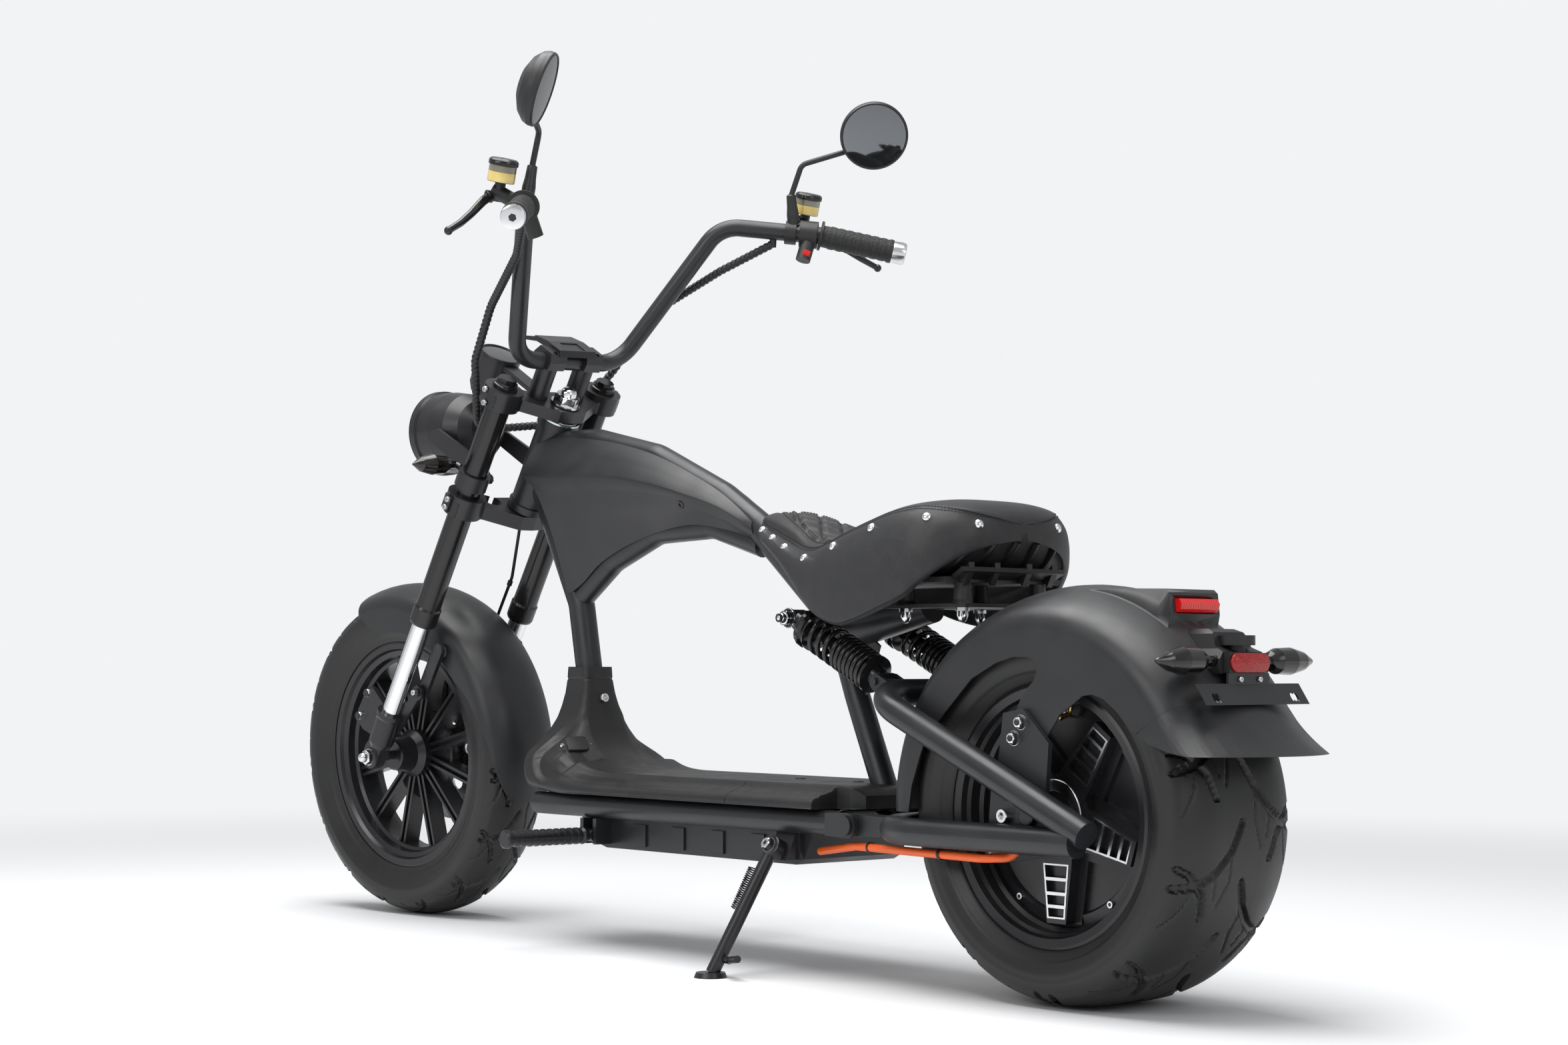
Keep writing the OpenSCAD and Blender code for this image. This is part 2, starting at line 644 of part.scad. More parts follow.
// Rear fender: the cut of its side walls, about the axle, and the flared tail
rear_fit = rear_r / 238.4;
fender_w = 238;
wall_cut = [[330, -4], [222, -4], [216, 30], [200, 71], [188, 96], [170, 112], [148, 132], [106, 170],
    [63, 190],
    [32, 197.6], [8, 197.6], [-6, 192], [-8, 180], [-3, 168], [8, 158], [20, 144], [48, 90], [-4, 60],
        [-21, 94], [-40, 118],
    [-47, 127], [-56, 132], [-72, 142], [-84, 150], [-100, 152], [-118, 147], [-140, 132], [-166, 107],
        [-186, 95],
    [-212, 86], [-240, 81], [-330, 80.6], [-330, 330], [330, 330]];
fender_studs = [[10, 355], [22, 335]];
tail_start = [fender_r * cos(tail_turn), fender_r * sin(tail_turn)];
module rear_fender()
{
    color("#26282b") placed() at_rear() {
        intersection() {
            union() {
                wheel_turn(-2, tail_turn) fender_section(fender_r, fender_w, 56, 200, 36, 3);
                translate([tail_start.x, 0, tail_start.y]) rotate([90, 0, 0]) rotate([0, 0, tail_dir - 90])
                    translate([-fender_r, -9, 0]) rotate([-90, 0, 0]) mirror([0, 1, 0])
                        linear_extrude(height = 130) fender_section(fender_r, fender_w - 0.3, 56, 200,
                            36, 2.8);
            }
            slab(150, 300) scale([rear_fit, rear_fit]) polygon(wall_cut);
        }
        pair() for (p = fender_studs) {
            turned([p.x, fender_w / 2 - 1, p.y - rear_r], [0, 1, 0], [[0, 8], [18.5, 8], [19.5, 5]]);
            turned([p.x, tab_y + 7.6, p.y - rear_r], [0, 1, 0], [[0, 18], [1.5, 18], [2, 15], [7.5, 14]]);
        }
        difference() {
            slab(46, 92) polygon([[-20, 284], [-30, 284], [-154, 281], [-160, 276], [-163, 250],
                [-160, 236], [-120, 240], [-20, 260]]);
            wheel_turn() fender_fill(fender_r - 1, fender_w - 2, 199, 35);
            translate([-200, -36, 252]) cube([72, 72, 18]);
        }
    }
}

module tail_lamp()
{
    color("#b01818") placed() at_rear() difference() {
        union() {
            slab(36 - gap, 72 - 2 * gap) polygon([[-128.6, 252.6], [-166, 252.6], [-170, 256],
                [-172, 263], [-168, 269], [-128.6, 269.4]]);
        }
        wheel_turn() fender_fill(fender_r + gap, fender_w + 2 * gap, 200 + gap, 36 + gap);
    }
}

// Tail unit on the fender's back with the reflector, the plate lamp, the indicators and the plate bracket
unit_half = [[0, 176], [40, 178], [44, 184], [42, 196], [34, 208], [30, 226], [24, 232], [0, 232]];
module tail_unit()
{
    color("#101012") placed() at_rear() {
        difference() {
            intersection() {
                beam(-236, 100) polygon(twin(unit_half));
                slab(60, 120) polygon([[-236, 178], [-236, 204], [-222, 210], [-214, 228], [-200, 233],
                    [-150, 233], [-150, 176]]);
            }
            wheel_turn() fender_fill(fender_r + gap, fender_w + 2 * gap, 200 + gap, 36 + gap);
            for (y = [-1, 1]) rod([-226, y * 34, 193], [-226, y * 60, 193], 14);
        }
        translate([-246, -36, 179]) cube([9.8, 72, 24]);
        difference() {
            translate([-226, 0, 212]) cylinder(d = 46, h = 12);
            translate([-290, -50, 200]) cube([40, 100, 40]);
        }
        translate([-226, 0, 200]) cylinder(d = 22, h = 14);
    }
}

module plate_bracket()
{
    color("#1a1b1c") placed() at_rear() difference() {
        union() {
            slab(95, 190) polygon([[-245, 166], [-242, 166], [-259, 141], [-262, 141]]);
            slab(38, 76) polygon([[-245.6, 178.6], [-242.4, 178.6], [-241.6, 164], [-245.4, 164]]);
        }
        pair() for (y = [70, 76]) rod([-272, y, 143], [-228, y, 160], 8);
    }
}

module rear_indicators()
{
    color("#151515") placed() at_rear() pair()
        turned([-226, 34.3, 193], [0, 1, 0], [[0, 13.4], [26, 13.4], [27, 16], [30, 24], [40, 32],
            [66, 34], [90, 24],
            [108, 8], [112, 3]]);
}

// Motor cable from the battery box, under the left tube, to the hollow axle
cable_points = [[439.6, 78, 170], [330, 112, 184], [70, 138, 184], [34, 120, 186], [12, 108, 222]];
module motor_cable()
{
    color("#f05a1c") placed() difference() {
        tube(cable_points, 11, 20);
        rod([0, 90, rear_r], [0, 124, rear_r], 40 + 2 * gap);
    }
}

// Rear wheel
rim_in = rear_flange_r - 25.8;
bead_r = rear_flange_r - 12;
module rear_tyre()
{
    s = rear_w / 215;
    drop = rear_r - 238.4;
    half = concat([[rear_r, 0]], [for (a = [0, 7, 14, 21, 28]) [rear_r - 120 + 120 * cos(a),
        (rear_band + 120 * sin(a)) * s]],
        [[214 + drop, 105.6 * s], [203 + drop, 107.5 * s], [188, 105.5 * s], [172, 97 * s],
            [rear_flange_r + gap, 94],
            [rear_flange_r + gap, 87.7], [bead_r + gap, 87.7]]);
    color("#151617") placed() at_rear() wheel_turn() polygon(concat(half,
        [for (i = [len(half) - 1 : -1 : 1]) [half[i].x, -half[i].y]]));
}

module rear_rim()
{
    half = [[bead_r, 0], [bead_r, 88], [rear_flange_r, 88], [rear_flange_r, 92], [rear_flange_r - 4, 94],
        [bead_r - 2, 92],
        [bead_r - 4, 84], [rim_in + 6, 80], [rim_in + 5, 66], [rim_in, 63], [rim_in, 0]];
    color("#1d1e20") placed() at_rear() {
        wheel_turn() polygon(concat(half, [for (i = [len(half) - 1 : -1 : 1]) [half[i].x, -half[i].y]]));
        rotate([0, -98, 0]) turned([rim_in + 6, 70, 0], [-1, 0, 0], [[-2, 9], [6, 9], [8, 6], [20, 6]]);
    }
}

// Hub motor: drum, cover with five tapered arms, and a ladder of windows in each arm
arm_turns = [for (i = [0 : 4]) -90 + 72 * i];
module motor_face()
{
    difference() {
        union() {
            for (a = arm_turns) slab(76, 24) rotate([0, 0, a]) polygon([[30, -27], [60, -26], [134, -16],
                [134, 16],
                [60, 26], [30, 27]]);
            for (a = arm_turns) slab(60, 8) rotate([0, 0, a]) polygon([[40, -42], [134, -28], [134, 28],
                [40, 42]]);
        }
        for (a = arm_turns) slab(80, 12) rotate([0, 0, a]) {
            polygon([[62, -19], [77, -17.4], [77, 17.4], [62, 19]]);
            polygon([[81, -17], [95, -15.6], [95, 15.6], [81, 17]]);
            polygon([[99, -15.2], [111, -14], [111, 14], [99, 15.2]]);
            polygon([[115, -13.6], [126, -12.6], [126, 12.6], [115, 13.6]]);
        }
    }
}
module hub_motor()
{
    color("#1b1c1e") placed() at_rear() difference() {
        union() {
            wheel_turn() polygon([[0, 60], [120, 60], [rim_in - gap, 52], [rim_in - gap, -56], [126, -60],
                [122, -54], [0, -54]]);
            motor_face();
            turned([0, 50, 0], [0, 1, 0], [[0, 107], [24, 104], [25, 92], [30, 90]]);
            turned([0, -59, 0], [0, -1, 0], [[0, 108], [8, 100], [16, 96]]);
            for (i = [0 : 9]) rotate([0, i * 36 + 18, 0]) turned([131, 55, 0], [0, 1, 0], [[0, 8],
                [6, 8], [7, 6]]);
        }
        rod([0, -200, 0], [0, 200, 0], axle_d + 2 * gap);
        rod([0, 77, 0], [0, 100, 0], 60);
    }
}

module rear_disc()
{
    color("#8a8c90") placed() at_rear() difference() {
        translate([0, -77.4, 0]) wheel_turn() polygon([[20, -2], [104, -2], [104, 2], [20, 2]]);
        for (i = [0 : 11]) for (r = [72, 88]) rotate([0, i * 30 + r, 0]) rod([r, -90, 0], [r, -60, 0], 9);
        for (i = [0 : 5]) rotate([0, i * 60, 0]) rod([52, -90, 0], [52, -60, 0], 22);
    }
}

module rear_caliper()
{
    color("#1b1c1e") placed() at_rear() difference() {
        union() {
            slab(-62, 42) polygon([[62, 60], [80, 36], [104, 44], [112, 70], [84, 92], [60, 82]]);
            slab(-100, arm_y - arm_d / 2 - 6 - 2 * gap - 100) polygon([[36, 40], [62, 30], [82, 44],
                [84, 66], [60, 70]]);
        }
        slab(-71.4, 12) circle(r = 107, $fn = 96);
    }
}

// Front end, in the steering's own frame: X ahead of the axis, Z up along it
stem_d = 31.4;
module leg_pair() { pair() translate([leg_x, leg_y, 0]) children(); }
function plate_half(back, front, wide) = [[0, back], [26, back + 2], [leg_y - 24, leg_x - 24],
    [leg_y, leg_x - 32],
    [leg_y + 28, leg_x - 18], [leg_y + 33, leg_x], [leg_y + 26, leg_x + 22], [leg_y, leg_x + 32],
    [leg_y - 30, leg_x + 26], [wide, front], [0, front]];
module plate(z, h, back, front, wide)
{
    translate([0, 0, z]) linear_extrude(height = h)
        polygon([for (p = twin(plate_half(back, front, wide))) [p.y, p.x]]);
}

module lower_clamp()
{
    color("#1e1f21") placed() on_steering() {
        difference() {
            union() {
                plate(low_plate, 24, -28, 40, 40);
                leg_pair() translate([0, 0, low_plate]) cylinder(d = 64, h = 34);
                leg_pair() translate([-6, 20, low_plate + 4]) cube([12, 16, 26]);
            }
            leg_pair() translate([0, 0, low_plate - 6]) cylinder(d = leg_d + 2 * gap, h = 50);
            pair() translate([30, leg_y / 2, low_plate - 1]) cylinder(d = 30, h = 30);
        }
        turned([0, 0, low_plate + 20], [0, 0, 1], [[0, 50], [head_low - low_plate - 20 - gap, 50],
            [head_low - low_plate - 20 - gap, stem_d], [high_plate + 34 - low_plate - 20, stem_d]]);
    }
}

module upper_clamp()
{
    color("#1e1f21") placed() on_steering() {
        difference() {
            union() {
                plate(high_plate + 2, 20, -28, 44, 44);
                leg_pair() translate([0, 0, high_plate]) cylinder(d = 64, h = 32);
                for (x = [-10, 10]) leg_pair() rod([x * 0.4, 22, high_plate + 16 + x],
                    [x * 0.4, 34, high_plate + 16 + x], 9);
            }
            leg_pair() translate([0, 0, high_plate - 6]) cylinder(d = leg_d + 2 * gap, h = 50);
            translate([0, 0, high_plate - 6]) cylinder(d = stem_d + 2 * gap, h = 50);
        }
        difference() {
            translate([0, 0, head_high + gap]) cylinder(d = 52, h = high_plate + 3 - head_high - gap,
                $fn = 12);
            translate([0, 0, head_high - 6]) cylinder(d = stem_d + 2 * gap, h = 50);
        }
        difference() {
            translate([0, 0, high_plate + 22 + 1]) cylinder(d = 40, h = 14, $fn = 6);
            translate([0, 0, high_plate - 6]) cylinder(d = stem_d + 2 * gap, h = 42);
        }
        difference() {
            translate([0, 0, high_plate + 21]) cylinder(d = 46, h = 3);
            translate([0, 0, high_plate - 6]) cylinder(d = stem_d + 2 * gap, h = 42);
        }
    }
}

module fork_tubes()
{
    color("#121315") placed() on_steering() leg_pair() {
        turned([0, 0, 0], [0, 0, 1], [[leg_seal, leg_d + 2], [leg_seal + 4, leg_d + 5],
            [leg_seal + 30, leg_d + 5],
            [leg_seal + 34, leg_d + 1], [leg_seal + 60, leg_d], [leg_top - 3, leg_d],
                [leg_top - 2, leg_d - 4], [leg_top + 1, leg_d - 4]]);
        translate([0, 0, leg_top]) cylinder(d = 30, h = 8, $fn = 8);
    }
}

lower_top = 92;
module fork_stanchions()
{
    color("#c9ccd0") placed() on_steering() leg_pair() translate([0, 0, lower_top + gap])
        cylinder(d = stanchion_d, h = leg_seal - lower_top - 2 * gap);
}

ear_bolts = [[106, 84], [107, 38]];
module fork_lowers()
{
    color("#1a1b1d") placed() on_steering() {
        leg_pair() {
            turned([0, 0, 0], [0, 0, 1], [[24, 34], [34, 42], [80, 43], [84, 47], [lower_top, 47]]);
            slab(9, 18) polygon(concat(arc([4, 0], 20, -180, 0, 16), [[24, 12], [16, 40], [-16, 40],
                [-16, 12]]));
        }
        pair() {
            turned([fork_offset, leg_y - 26, 0], [0, 1, 0], [[0, 20], [17, 20], [17.1, 34], [35, 34],
                [36, 26], [44, 25], [45, 15], [52, 13]]);
            slab(leg_y - 8, 5) polygon([[leg_x + 3, 66], [leg_x - 16, 90], [14, 152], [8, 162],
                [-8, 162], [-14, 150], [-6, 138],
                [leg_x - 23, 62]]);
            slab(leg_y - 16.5, 7) polygon([[-12, 146], [12, 146], [10, 238], [2, 246], [-8, 246],
                [-14, 238]]);
            slab(leg_y - 2, 10) polygon([[leg_x - 4, 84], [leg_x + 4, 30], [92, 22], [116, 28],
                [118, 46], [112, 92], [100, 98], [leg_x + 20, 88]]);
            for (p = ear_bolts) turned([p.x, leg_y - 3, p.y], [0, 1, 0], [[0, 14], [7, 14], [9, 10]]);
            turned([0, leg_y - 24, 152], [0, 1, 0], [[0, 14], [20, 14], [22, 10]]);
        }
        rod([fork_offset, -leg_y + 20, 0], [fork_offset, leg_y - 20, 0], 15);
    }
}

// Handlebar, its clamp and what sits on it
bar_half = [[27, 108, leg_top + 45], [12, 205, leg_top + 308], [-102, 311, leg_top + 353],
    [-179, 389, leg_top + 369]];
grip_dir = unit(bar_half[3] - bar_half[2]);
bar_dir = unit(bar_half[2] - bar_half[1]);
function on_grip(t) = bar_half[2] + (t < 0 ? bar_dir : grip_dir) * t;
module bar_tube(extra) { tube(both([for (i = [3 : -1 : 0]) bar_half[i]]), bar_d + extra, 58); }
module handlebar()
{
    color("#202123") placed() on_steering() {
        bar_tube(0);
        pair() turned(on_grip(norm(bar_half[3] - bar_half[2]) - 2), grip_dir, [[0, 20], [12, 20],
            [12.2, 34], [26, 36], [32, 34], [33, 26]]);
    }
}

riser_y = 38;
module bar_clamp()
{
    c = bar_half[0];
    base = high_plate + 22 + gap;
    color("#151617") placed() on_steering() difference() {
        union() {
            pair() {
                translate([c.x, riser_y, base]) cylinder(d = 33, h = c.z - base);
                slab(riser_y + 17, 34) polygon([[c.x - 20, c.z - 8], [c.x + 22, c.z - 8],
                    [c.x + 24, c.z + 6], [c.x + 14, c.z + 21],
                    [c.x - 16, c.z + 21], [c.x - 22, c.z + 6]]);
            }
            slab(riser_y, 2 * riser_y) polygon([[c.x - 20, c.z + 17], [c.x - 14, c.z + 26],
                [c.x + 20, c.z + 26], [c.x + 52, c.z + 20],
                [c.x + 54, c.z + 12], [c.x + 14, c.z + 16]]);
            slab(24, 48) polygon([[c.x + 44, c.z + 20], [c.x + 96, c.z - 2], [c.x + 95, c.z - 8],
                [c.x + 44, c.z + 12]]);
        }
        rod([c.x, -90, c.z], [c.x, 90, c.z], bar_d + 2 * gap);
        for (x = [-13, 15]) pair() translate([c.x + x, riser_y + 6, c.z + 16]) cylinder(d = 8, h = 12);
        translate([c.x - 12, -18, c.z + 24.4]) cube([26, 36, 4]);
    }
}

module grips()
{
    len_grip = norm(bar_half[3] - bar_half[2]) + 10 - gap;
    color("#131313") placed() on_steering() pair() difference() {
        union() {
            turned(on_grip(0), grip_dir, [[0, 48], [4, 48], [5, 35], [20, 36], [len_grip - 8, 36],
                [len_grip - 6, 39], [len_grip, 38]]);
            for (t = [16 : 14 : len_grip - 18]) turned(on_grip(t), grip_dir, [[0, 35], [0.6, 37.6],
                [8.4, 37.6], [9, 35]], 36);
        }
        rod(on_grip(0) - grip_dir * 9, on_grip(len_grip + 3), bar_d + 2 * gap);
    }
}

// Switch pod and lever perch next to each grip
module perch(extra)
{
    rod(on_grip(-26) + [6, 5, 1], on_grip(-26) + [42, 30, 6], 22 + extra);
}
module hand_controls()
{
    color("#161718") placed() on_steering() pair() difference() {
        union() {
            rod(on_grip(-32), on_grip(-3.6), 44);
            rod(on_grip(-16) + [-10, -8, -12], on_grip(-16) + [-24, -20, -36], 24);
            perch(0);
            rod(on_grip(-56), on_grip(-38), 38);
        }
        bar_tube(2 * gap);
    }
}

module brake_levers()
{
    a = on_grip(-20) + [44, 34, -6];
    b = on_grip(36) + [60, 48, -14];
    c = on_grip(118) + [46, 36, -18];
    color("#111112") placed() on_steering() pair() difference() {
        union() {
            tube([a, b, c], 10, 24);
            turned(a - unit(b - a) * 2, unit(b - a), [[0, 20], [10, 20], [22, 12]]);
            turned(c - unit(c - b) * 3, unit(c - b), [[0, 14], [8, 15], [10, 11]]);
        }
        perch(2 * gap);
    }
}

module reservoirs()
{
    a = on_grip(-26) + [34, 26, 14];
    color("#c9b44a") placed() on_steering() pair() difference() {
        turned(a, unit([0.25, 0, 0.97]), [[-6, 16], [6, 16], [7, 40], [32, 40], [32.2, 43], [39, 43],
            [41, 38]]);
        perch(2 * gap);
    }
}

// Wound looms from the switch pods to the head, the left one outside, the right one behind the bar
loom_half = [[-56, 262, leg_top + 312], [-14, 214, leg_top + 240], [58, 166, leg_top + 120],
    [70, 150, leg_top + 20],
    [74, 100, leg_top - 90], [148, 14, leg_top - 142]];
module control_looms()
{
    color("#141414") placed() on_steering() pair() {
        tube(loom_half, 13, 40);
        difference() {
            rod(loom_half[0] + [-3, 1, -4], loom_half[0] + [6, 1, 20], 11);
            bar_tube(2 * gap);
        }
    }
}

mirror_root = [-47.8, 271.6, leg_top + 396];
mirror_head = [-98.9, 349.1, leg_top + 532];
module mirrors()
{
    face = unit([-cos(38), -sin(38), 0.06]);
    base = on_grip(-47) + [0, 0, 14];
    color("#141415") placed() on_steering() pair() {
        difference() {
            turned(base, unit(mirror_root - base), [[0, 20], [17, 20], [29, 17],
                [norm(mirror_root - base), 15], [norm(mirror_root - base) + 2, 9]]);
            rod(on_grip(-70), on_grip(-20), 38 + 2 * gap);
        }
        tube([mirror_root - [1, 0, 8], mirror_root + [6, 4, 52], mirror_head - face * 16 - [0, 0, 20]],
            9, 16);
        turned(mirror_head, -face, [[-6, 108], [-4.6, 110], [2, 110], [10, 104], [20, 84], [28, 50],
            [30, 20]]);
    }
}

module gauge()
{
    z = leg_top - 97;
    x = 183;
    color("#161617") placed() on_steering() difference() {
        union() {
            turned([x, 0, z], [0, 0, 1], [[0, 44], [3, 58], [14, 68], [16, 70], [70, 70], [76, 68],
                [76.1, 64], [74.5, 63.9]]);
            translate([30, -14, high_plate + 5]) cube([x - 60, 28, 8]);
        }
        plate(high_plate - 4, 44, -28 - gap, 44 + gap, 44 + gap);
    }
}

lamp_x = 210;
module headlamp()
{
    z = leg_top - 182;
    color("#18191a") placed() on_steering() difference() {
        union() {
            translate([lamp_x, 0, z]) rotate([0, rake, 0]) turned([0, 0, 0], [1, 0, 0], [[-66, 30],
                [-62, 60], [-48, 98], [-24, 124],
                [10, 134], [40, 136], [42, 142], [54, 142], [56, 134], [54.5, 133]]);
            pair() {
                translate([0, leg_y - 36, z]) slab(6, 6) polygon([[leg_x - 10, 8], [leg_x + 26, 24],
                    [lamp_x - 20, 16], [lamp_x - 4, 2],
                    [lamp_x - 20, -12], [leg_x + 20, -10]]);
                translate([leg_x, leg_y, z - 8]) cylinder(d = leg_d + 12, h = 26);
                rod([leg_x + 4, leg_y - 10, z + 4], [leg_x + 4, leg_y - 40, z + 4], 16);
                rod([lamp_x - 20, leg_y - 40, z + 2], [lamp_x - 20, leg_y - 30, z + 2], 20);
            }
        }
        leg_pair() translate([0, 0, 300]) cylinder(d = leg_d + 2 * gap, h = 400);
    }
}

module front_indicators()
{
    a = [68, leg_y + 14, leg_top - 167];
    color("#151515") placed() on_steering() pair() {
        turned(a, [0, 1, 0], [[0, 14], [14, 13], [16, 16], [19, 24], [28, 32], [50, 34], [72, 24],
            [84, 8], [88, 3]]);
        difference() {
            rod(a + [2, 3, 0], [leg_x, leg_y + 8, a.z], 13);
            translate([leg_x, leg_y, a.z - 40]) cylinder(d = leg_d + 12 + 2 * gap, h = 80);
        }
    }
}

front_cut = [[120, 330], [120, 270], [84, 262], [78, 240], [40, 214], [-60, 205], [-120, 178],
    [-139, 172], [-170, 140],
    [-214, 100], [-244, 60], [-262, 20], [-270, -20], [-274, -60], [-279, -76], [-330, -88], [-330, 330]];
module front_fender()
{
    color("#242628") placed() at_front() {
        rotate([0, rake, 0]) intersection() {
            wheel_turn(73, 197) fender_section(front_fender_r, 146, 190, 106, 30, 3);
            slab(90, 180) polygon(front_cut);
        }
        pair() turned([-2 - fork_offset, 70, 232], [0, 1, 0], [[0, 20], [4, 20], [5, 16],
            [leg_y - 23.5 - gap - 70, 16]]);
    }
}

module front_caliper()
{
    color("#1c1d1f") placed() at_front() difference() {
        slab(-44, leg_y - 12 - gap - 44) polygon([[38, 60], [54, 30], [90, 32], [104, 62], [92, 98],
            [62, 104]]);
        slab(-53.4, 9) circle(r = 120.5, $fn = 96);
    }
}

// Front wheel
front_bead = front_flange_r - 10;
module front_tyre()
{
    s = front_w / 120;
    a1 = 35.3;
    half = concat([for (a = [0, 6, 12, 18, 24, 30, a1]) [front_r - front_crown + front_crown * cos(a),
        front_crown * sin(a)]],
        [[250, 56.5 * s], [243, 59.4 * s], [235, 60 * s], [224, 58.6 * s], [210, 53 * s], [198, 47 * s],
            [front_flange_r + gap, 46], [front_flange_r + gap, 40], [front_bead + gap, 40]]);
    color("#151617") placed() at_front() wheel_turn() polygon(concat(half,
        [for (i = [len(half) - 1 : -1 : 1]) [half[i].x, -half[i].y]]));
}

module front_rim()
{
    half = [[front_bead, 0], [front_bead, 40.3], [front_flange_r, 40.3], [front_flange_r, 43.5],
        [front_flange_r - 4, 45],
        [front_bead - 3, 44], [front_bead - 6, 38], [front_bead - 14, 34], [front_bead - 16, 22],
            [front_bead - 21, 18], [front_bead - 21, 0]];
    color("#1a1b1c") placed() at_front() difference() {
        union() {
            wheel_turn() polygon(concat(half,
                [for (i = [len(half) - 1 : -1 : 1]) [half[i].x, -half[i].y]]));
            turned([0, -55.7, 0], [0, 1, 0], [[0, 70], [6, 76], [14, 80], [46, 78], [80, 80], [90, 62],
                [118, 52], [120, 46]]);
            wheel_turn() polygon([[30, -6], [78, -2.5], [78, 2.5], [30, 6]]);
            for (i = [0 : spokes - 1]) rotate([0, (i + 0.5) * 360 / spokes, 0]) {
                translate([36, -8, -5]) cube([front_bead - 54, 16, 10]);
                for (z = [-8.2, 3.4]) translate([36, -15, z]) cube([front_bead - 54, 30, 4.8]);
            }
        }
        rod([0, -80, 0], [0, 80, 0], 15 + 2 * gap);
    }
}

module front_disc()
{
    color("#9a9ca0") placed() at_front() difference() {
        translate([0, -58, 0]) wheel_turn() polygon([[24, -2], [118, -2], [118, 2], [24, 2]]);
        for (i = [0 : 17]) for (r = [82, 94, 106]) rotate([0, i * 20 + r * 1.2, 0]) rod([r, -70, 0],
            [r, -40, 0], 6.5);
        for (i = [0 : 4]) rotate([0, i * 72, 0]) rod([58, -70, 0], [58, -40, 0], 26);
    }
}

module side_stand()
{
    top = [stand_x, 120.4, stand_z];
    fold = [0, cos(stand_tilt), sin(stand_tilt)];
    color("#1d1e20") placed() {
        difference() {
            union() {
                rod(top + [2, 9, -4], stand_foot + [0, -3, -2], 19);
                translate([stand_foot.x, stand_foot.y, 0]) cylinder(d1 = 46, d2 = 40, h = 7);
                turned([stand_x, 126, stand_z] - fold * 10.4, fold, [[0, 30], [17, 30], [18, 26], [22, 20], [28, 18], [29, 12]]);
                rod([stand_foot.x - 22, stand_foot.y - 14, 24],
                    [stand_foot.x - 62, stand_foot.y + 4, 30], 10);
                rod([stand_foot.x - 26, stand_foot.y - 12, 24],
                    [stand_foot.x + 2, stand_foot.y - 16, 24], 10);
            }
            translate([stand_foot.x - 100, stand_foot.y - 100, -20]) cube([200, 200, 20]);
        }
    }
}

module peg()
{
    translate([along(peg_x), 0, peg_z - 14]) difference() {
        union() {
            rod([0, 114, 0], [0, 131, 0], 17);
            rod([-11, 114, 0], [11, 114, 0], 19);
            turned([0, 126, 0], [0, 1, 0], [[0, 17], [2, 24], [6, 26], [10, 22], [136, 22], [140, 28],
                [145, 28], [147, 22]]);
            for (y = [140 : 12 : 256]) turned([0, y, 0], [0, 1, 0], [[0, 21], [1, 25], [5, 25], [6, 21]]);
        }
        rod([-20, 114, 0], [20, 114, 0], 8.6);
    }
}
module peg_left() { color("#1c1d1f") placed() peg(); }
module peg_right() { color("#1c1d1f") placed() mirror([0, 1, 0]) peg(); }

head_tube();
backbone();
arch_tube();
down_tube();
side_covers();
deck_front();
deck_rear();
battery_box();
frame_rails();
seat_stay();
seat_bracket();
seat_pan();
seat_pad();
shocks();
shock_springs();
swingarm_upper();
swingarm_lower();
rear_axle();
rear_fender();
tail_lamp();
tail_unit();
plate_bracket();
rear_indicators();
motor_cable();
rear_tyre();
rear_rim();
hub_motor();
rear_disc();
rear_caliper();
lower_clamp();
upper_clamp();
fork_tubes();
fork_stanchions();
fork_lowers();
bar_clamp();
handlebar();
grips();
hand_controls();
brake_levers();
reservoirs();
control_looms();
mirrors();
gauge();
headlamp();
front_indicators();
front_fender();
front_caliper();
front_tyre();
front_rim();
front_disc();
side_stand();
peg_left();
peg_right();
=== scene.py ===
# Electric chopper scooter: looks of the part. Millimetres in the frame's own axes until a piece is placed.
import bmesh
import bpy
import math
import numpy as np
from mathutils import Matrix, Vector


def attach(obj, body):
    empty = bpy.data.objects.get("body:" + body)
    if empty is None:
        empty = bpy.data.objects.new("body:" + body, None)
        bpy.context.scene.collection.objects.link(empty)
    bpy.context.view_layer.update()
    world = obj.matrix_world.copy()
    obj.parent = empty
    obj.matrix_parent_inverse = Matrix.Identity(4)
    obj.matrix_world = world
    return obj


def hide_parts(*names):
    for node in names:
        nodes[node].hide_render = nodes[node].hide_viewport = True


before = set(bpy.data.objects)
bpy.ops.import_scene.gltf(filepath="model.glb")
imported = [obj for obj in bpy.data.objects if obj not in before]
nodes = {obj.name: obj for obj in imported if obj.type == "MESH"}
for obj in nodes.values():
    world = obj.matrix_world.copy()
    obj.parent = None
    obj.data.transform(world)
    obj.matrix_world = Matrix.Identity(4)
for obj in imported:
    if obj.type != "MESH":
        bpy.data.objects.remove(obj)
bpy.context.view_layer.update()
scene = bpy.context.scene

# Driving dimensions, as in the part's source
WHEELBASE = 1550
REAR_R, REAR_BAND = 238.4, 42
FRONT_R, FRONT_CROWN = 273.8, 90
RAKE, STEER_REST, FORK_OFFSET = 31.9, 5.4, 39
LEG_GAP, LEG_TOP = 206, 713
LEG_X, LEG_Y = FORK_OFFSET - 4, LEG_GAP / 2
HIGH_PLATE, LOW_PLATE = LEG_TOP - 41, LEG_TOP - 237
MIDDLE = Vector((759.7096, -13.0058, 0))

# Camera solved from the photograph
CAM_PLACE = (-3.02543, 2.49367, 0.42769)
CAM_RIGHT = Vector((-0.653418, -0.756993, 0.002554))
CAM_UP = Vector((-0.038849, 0.036903, 0.998563))
CAM_AHEAD = Vector((0.756, -0.65238, 0.053522))
CAM_LENS = 60.196


def turning(axis, degrees):
    return Matrix.Rotation(math.radians(degrees), 4, axis)


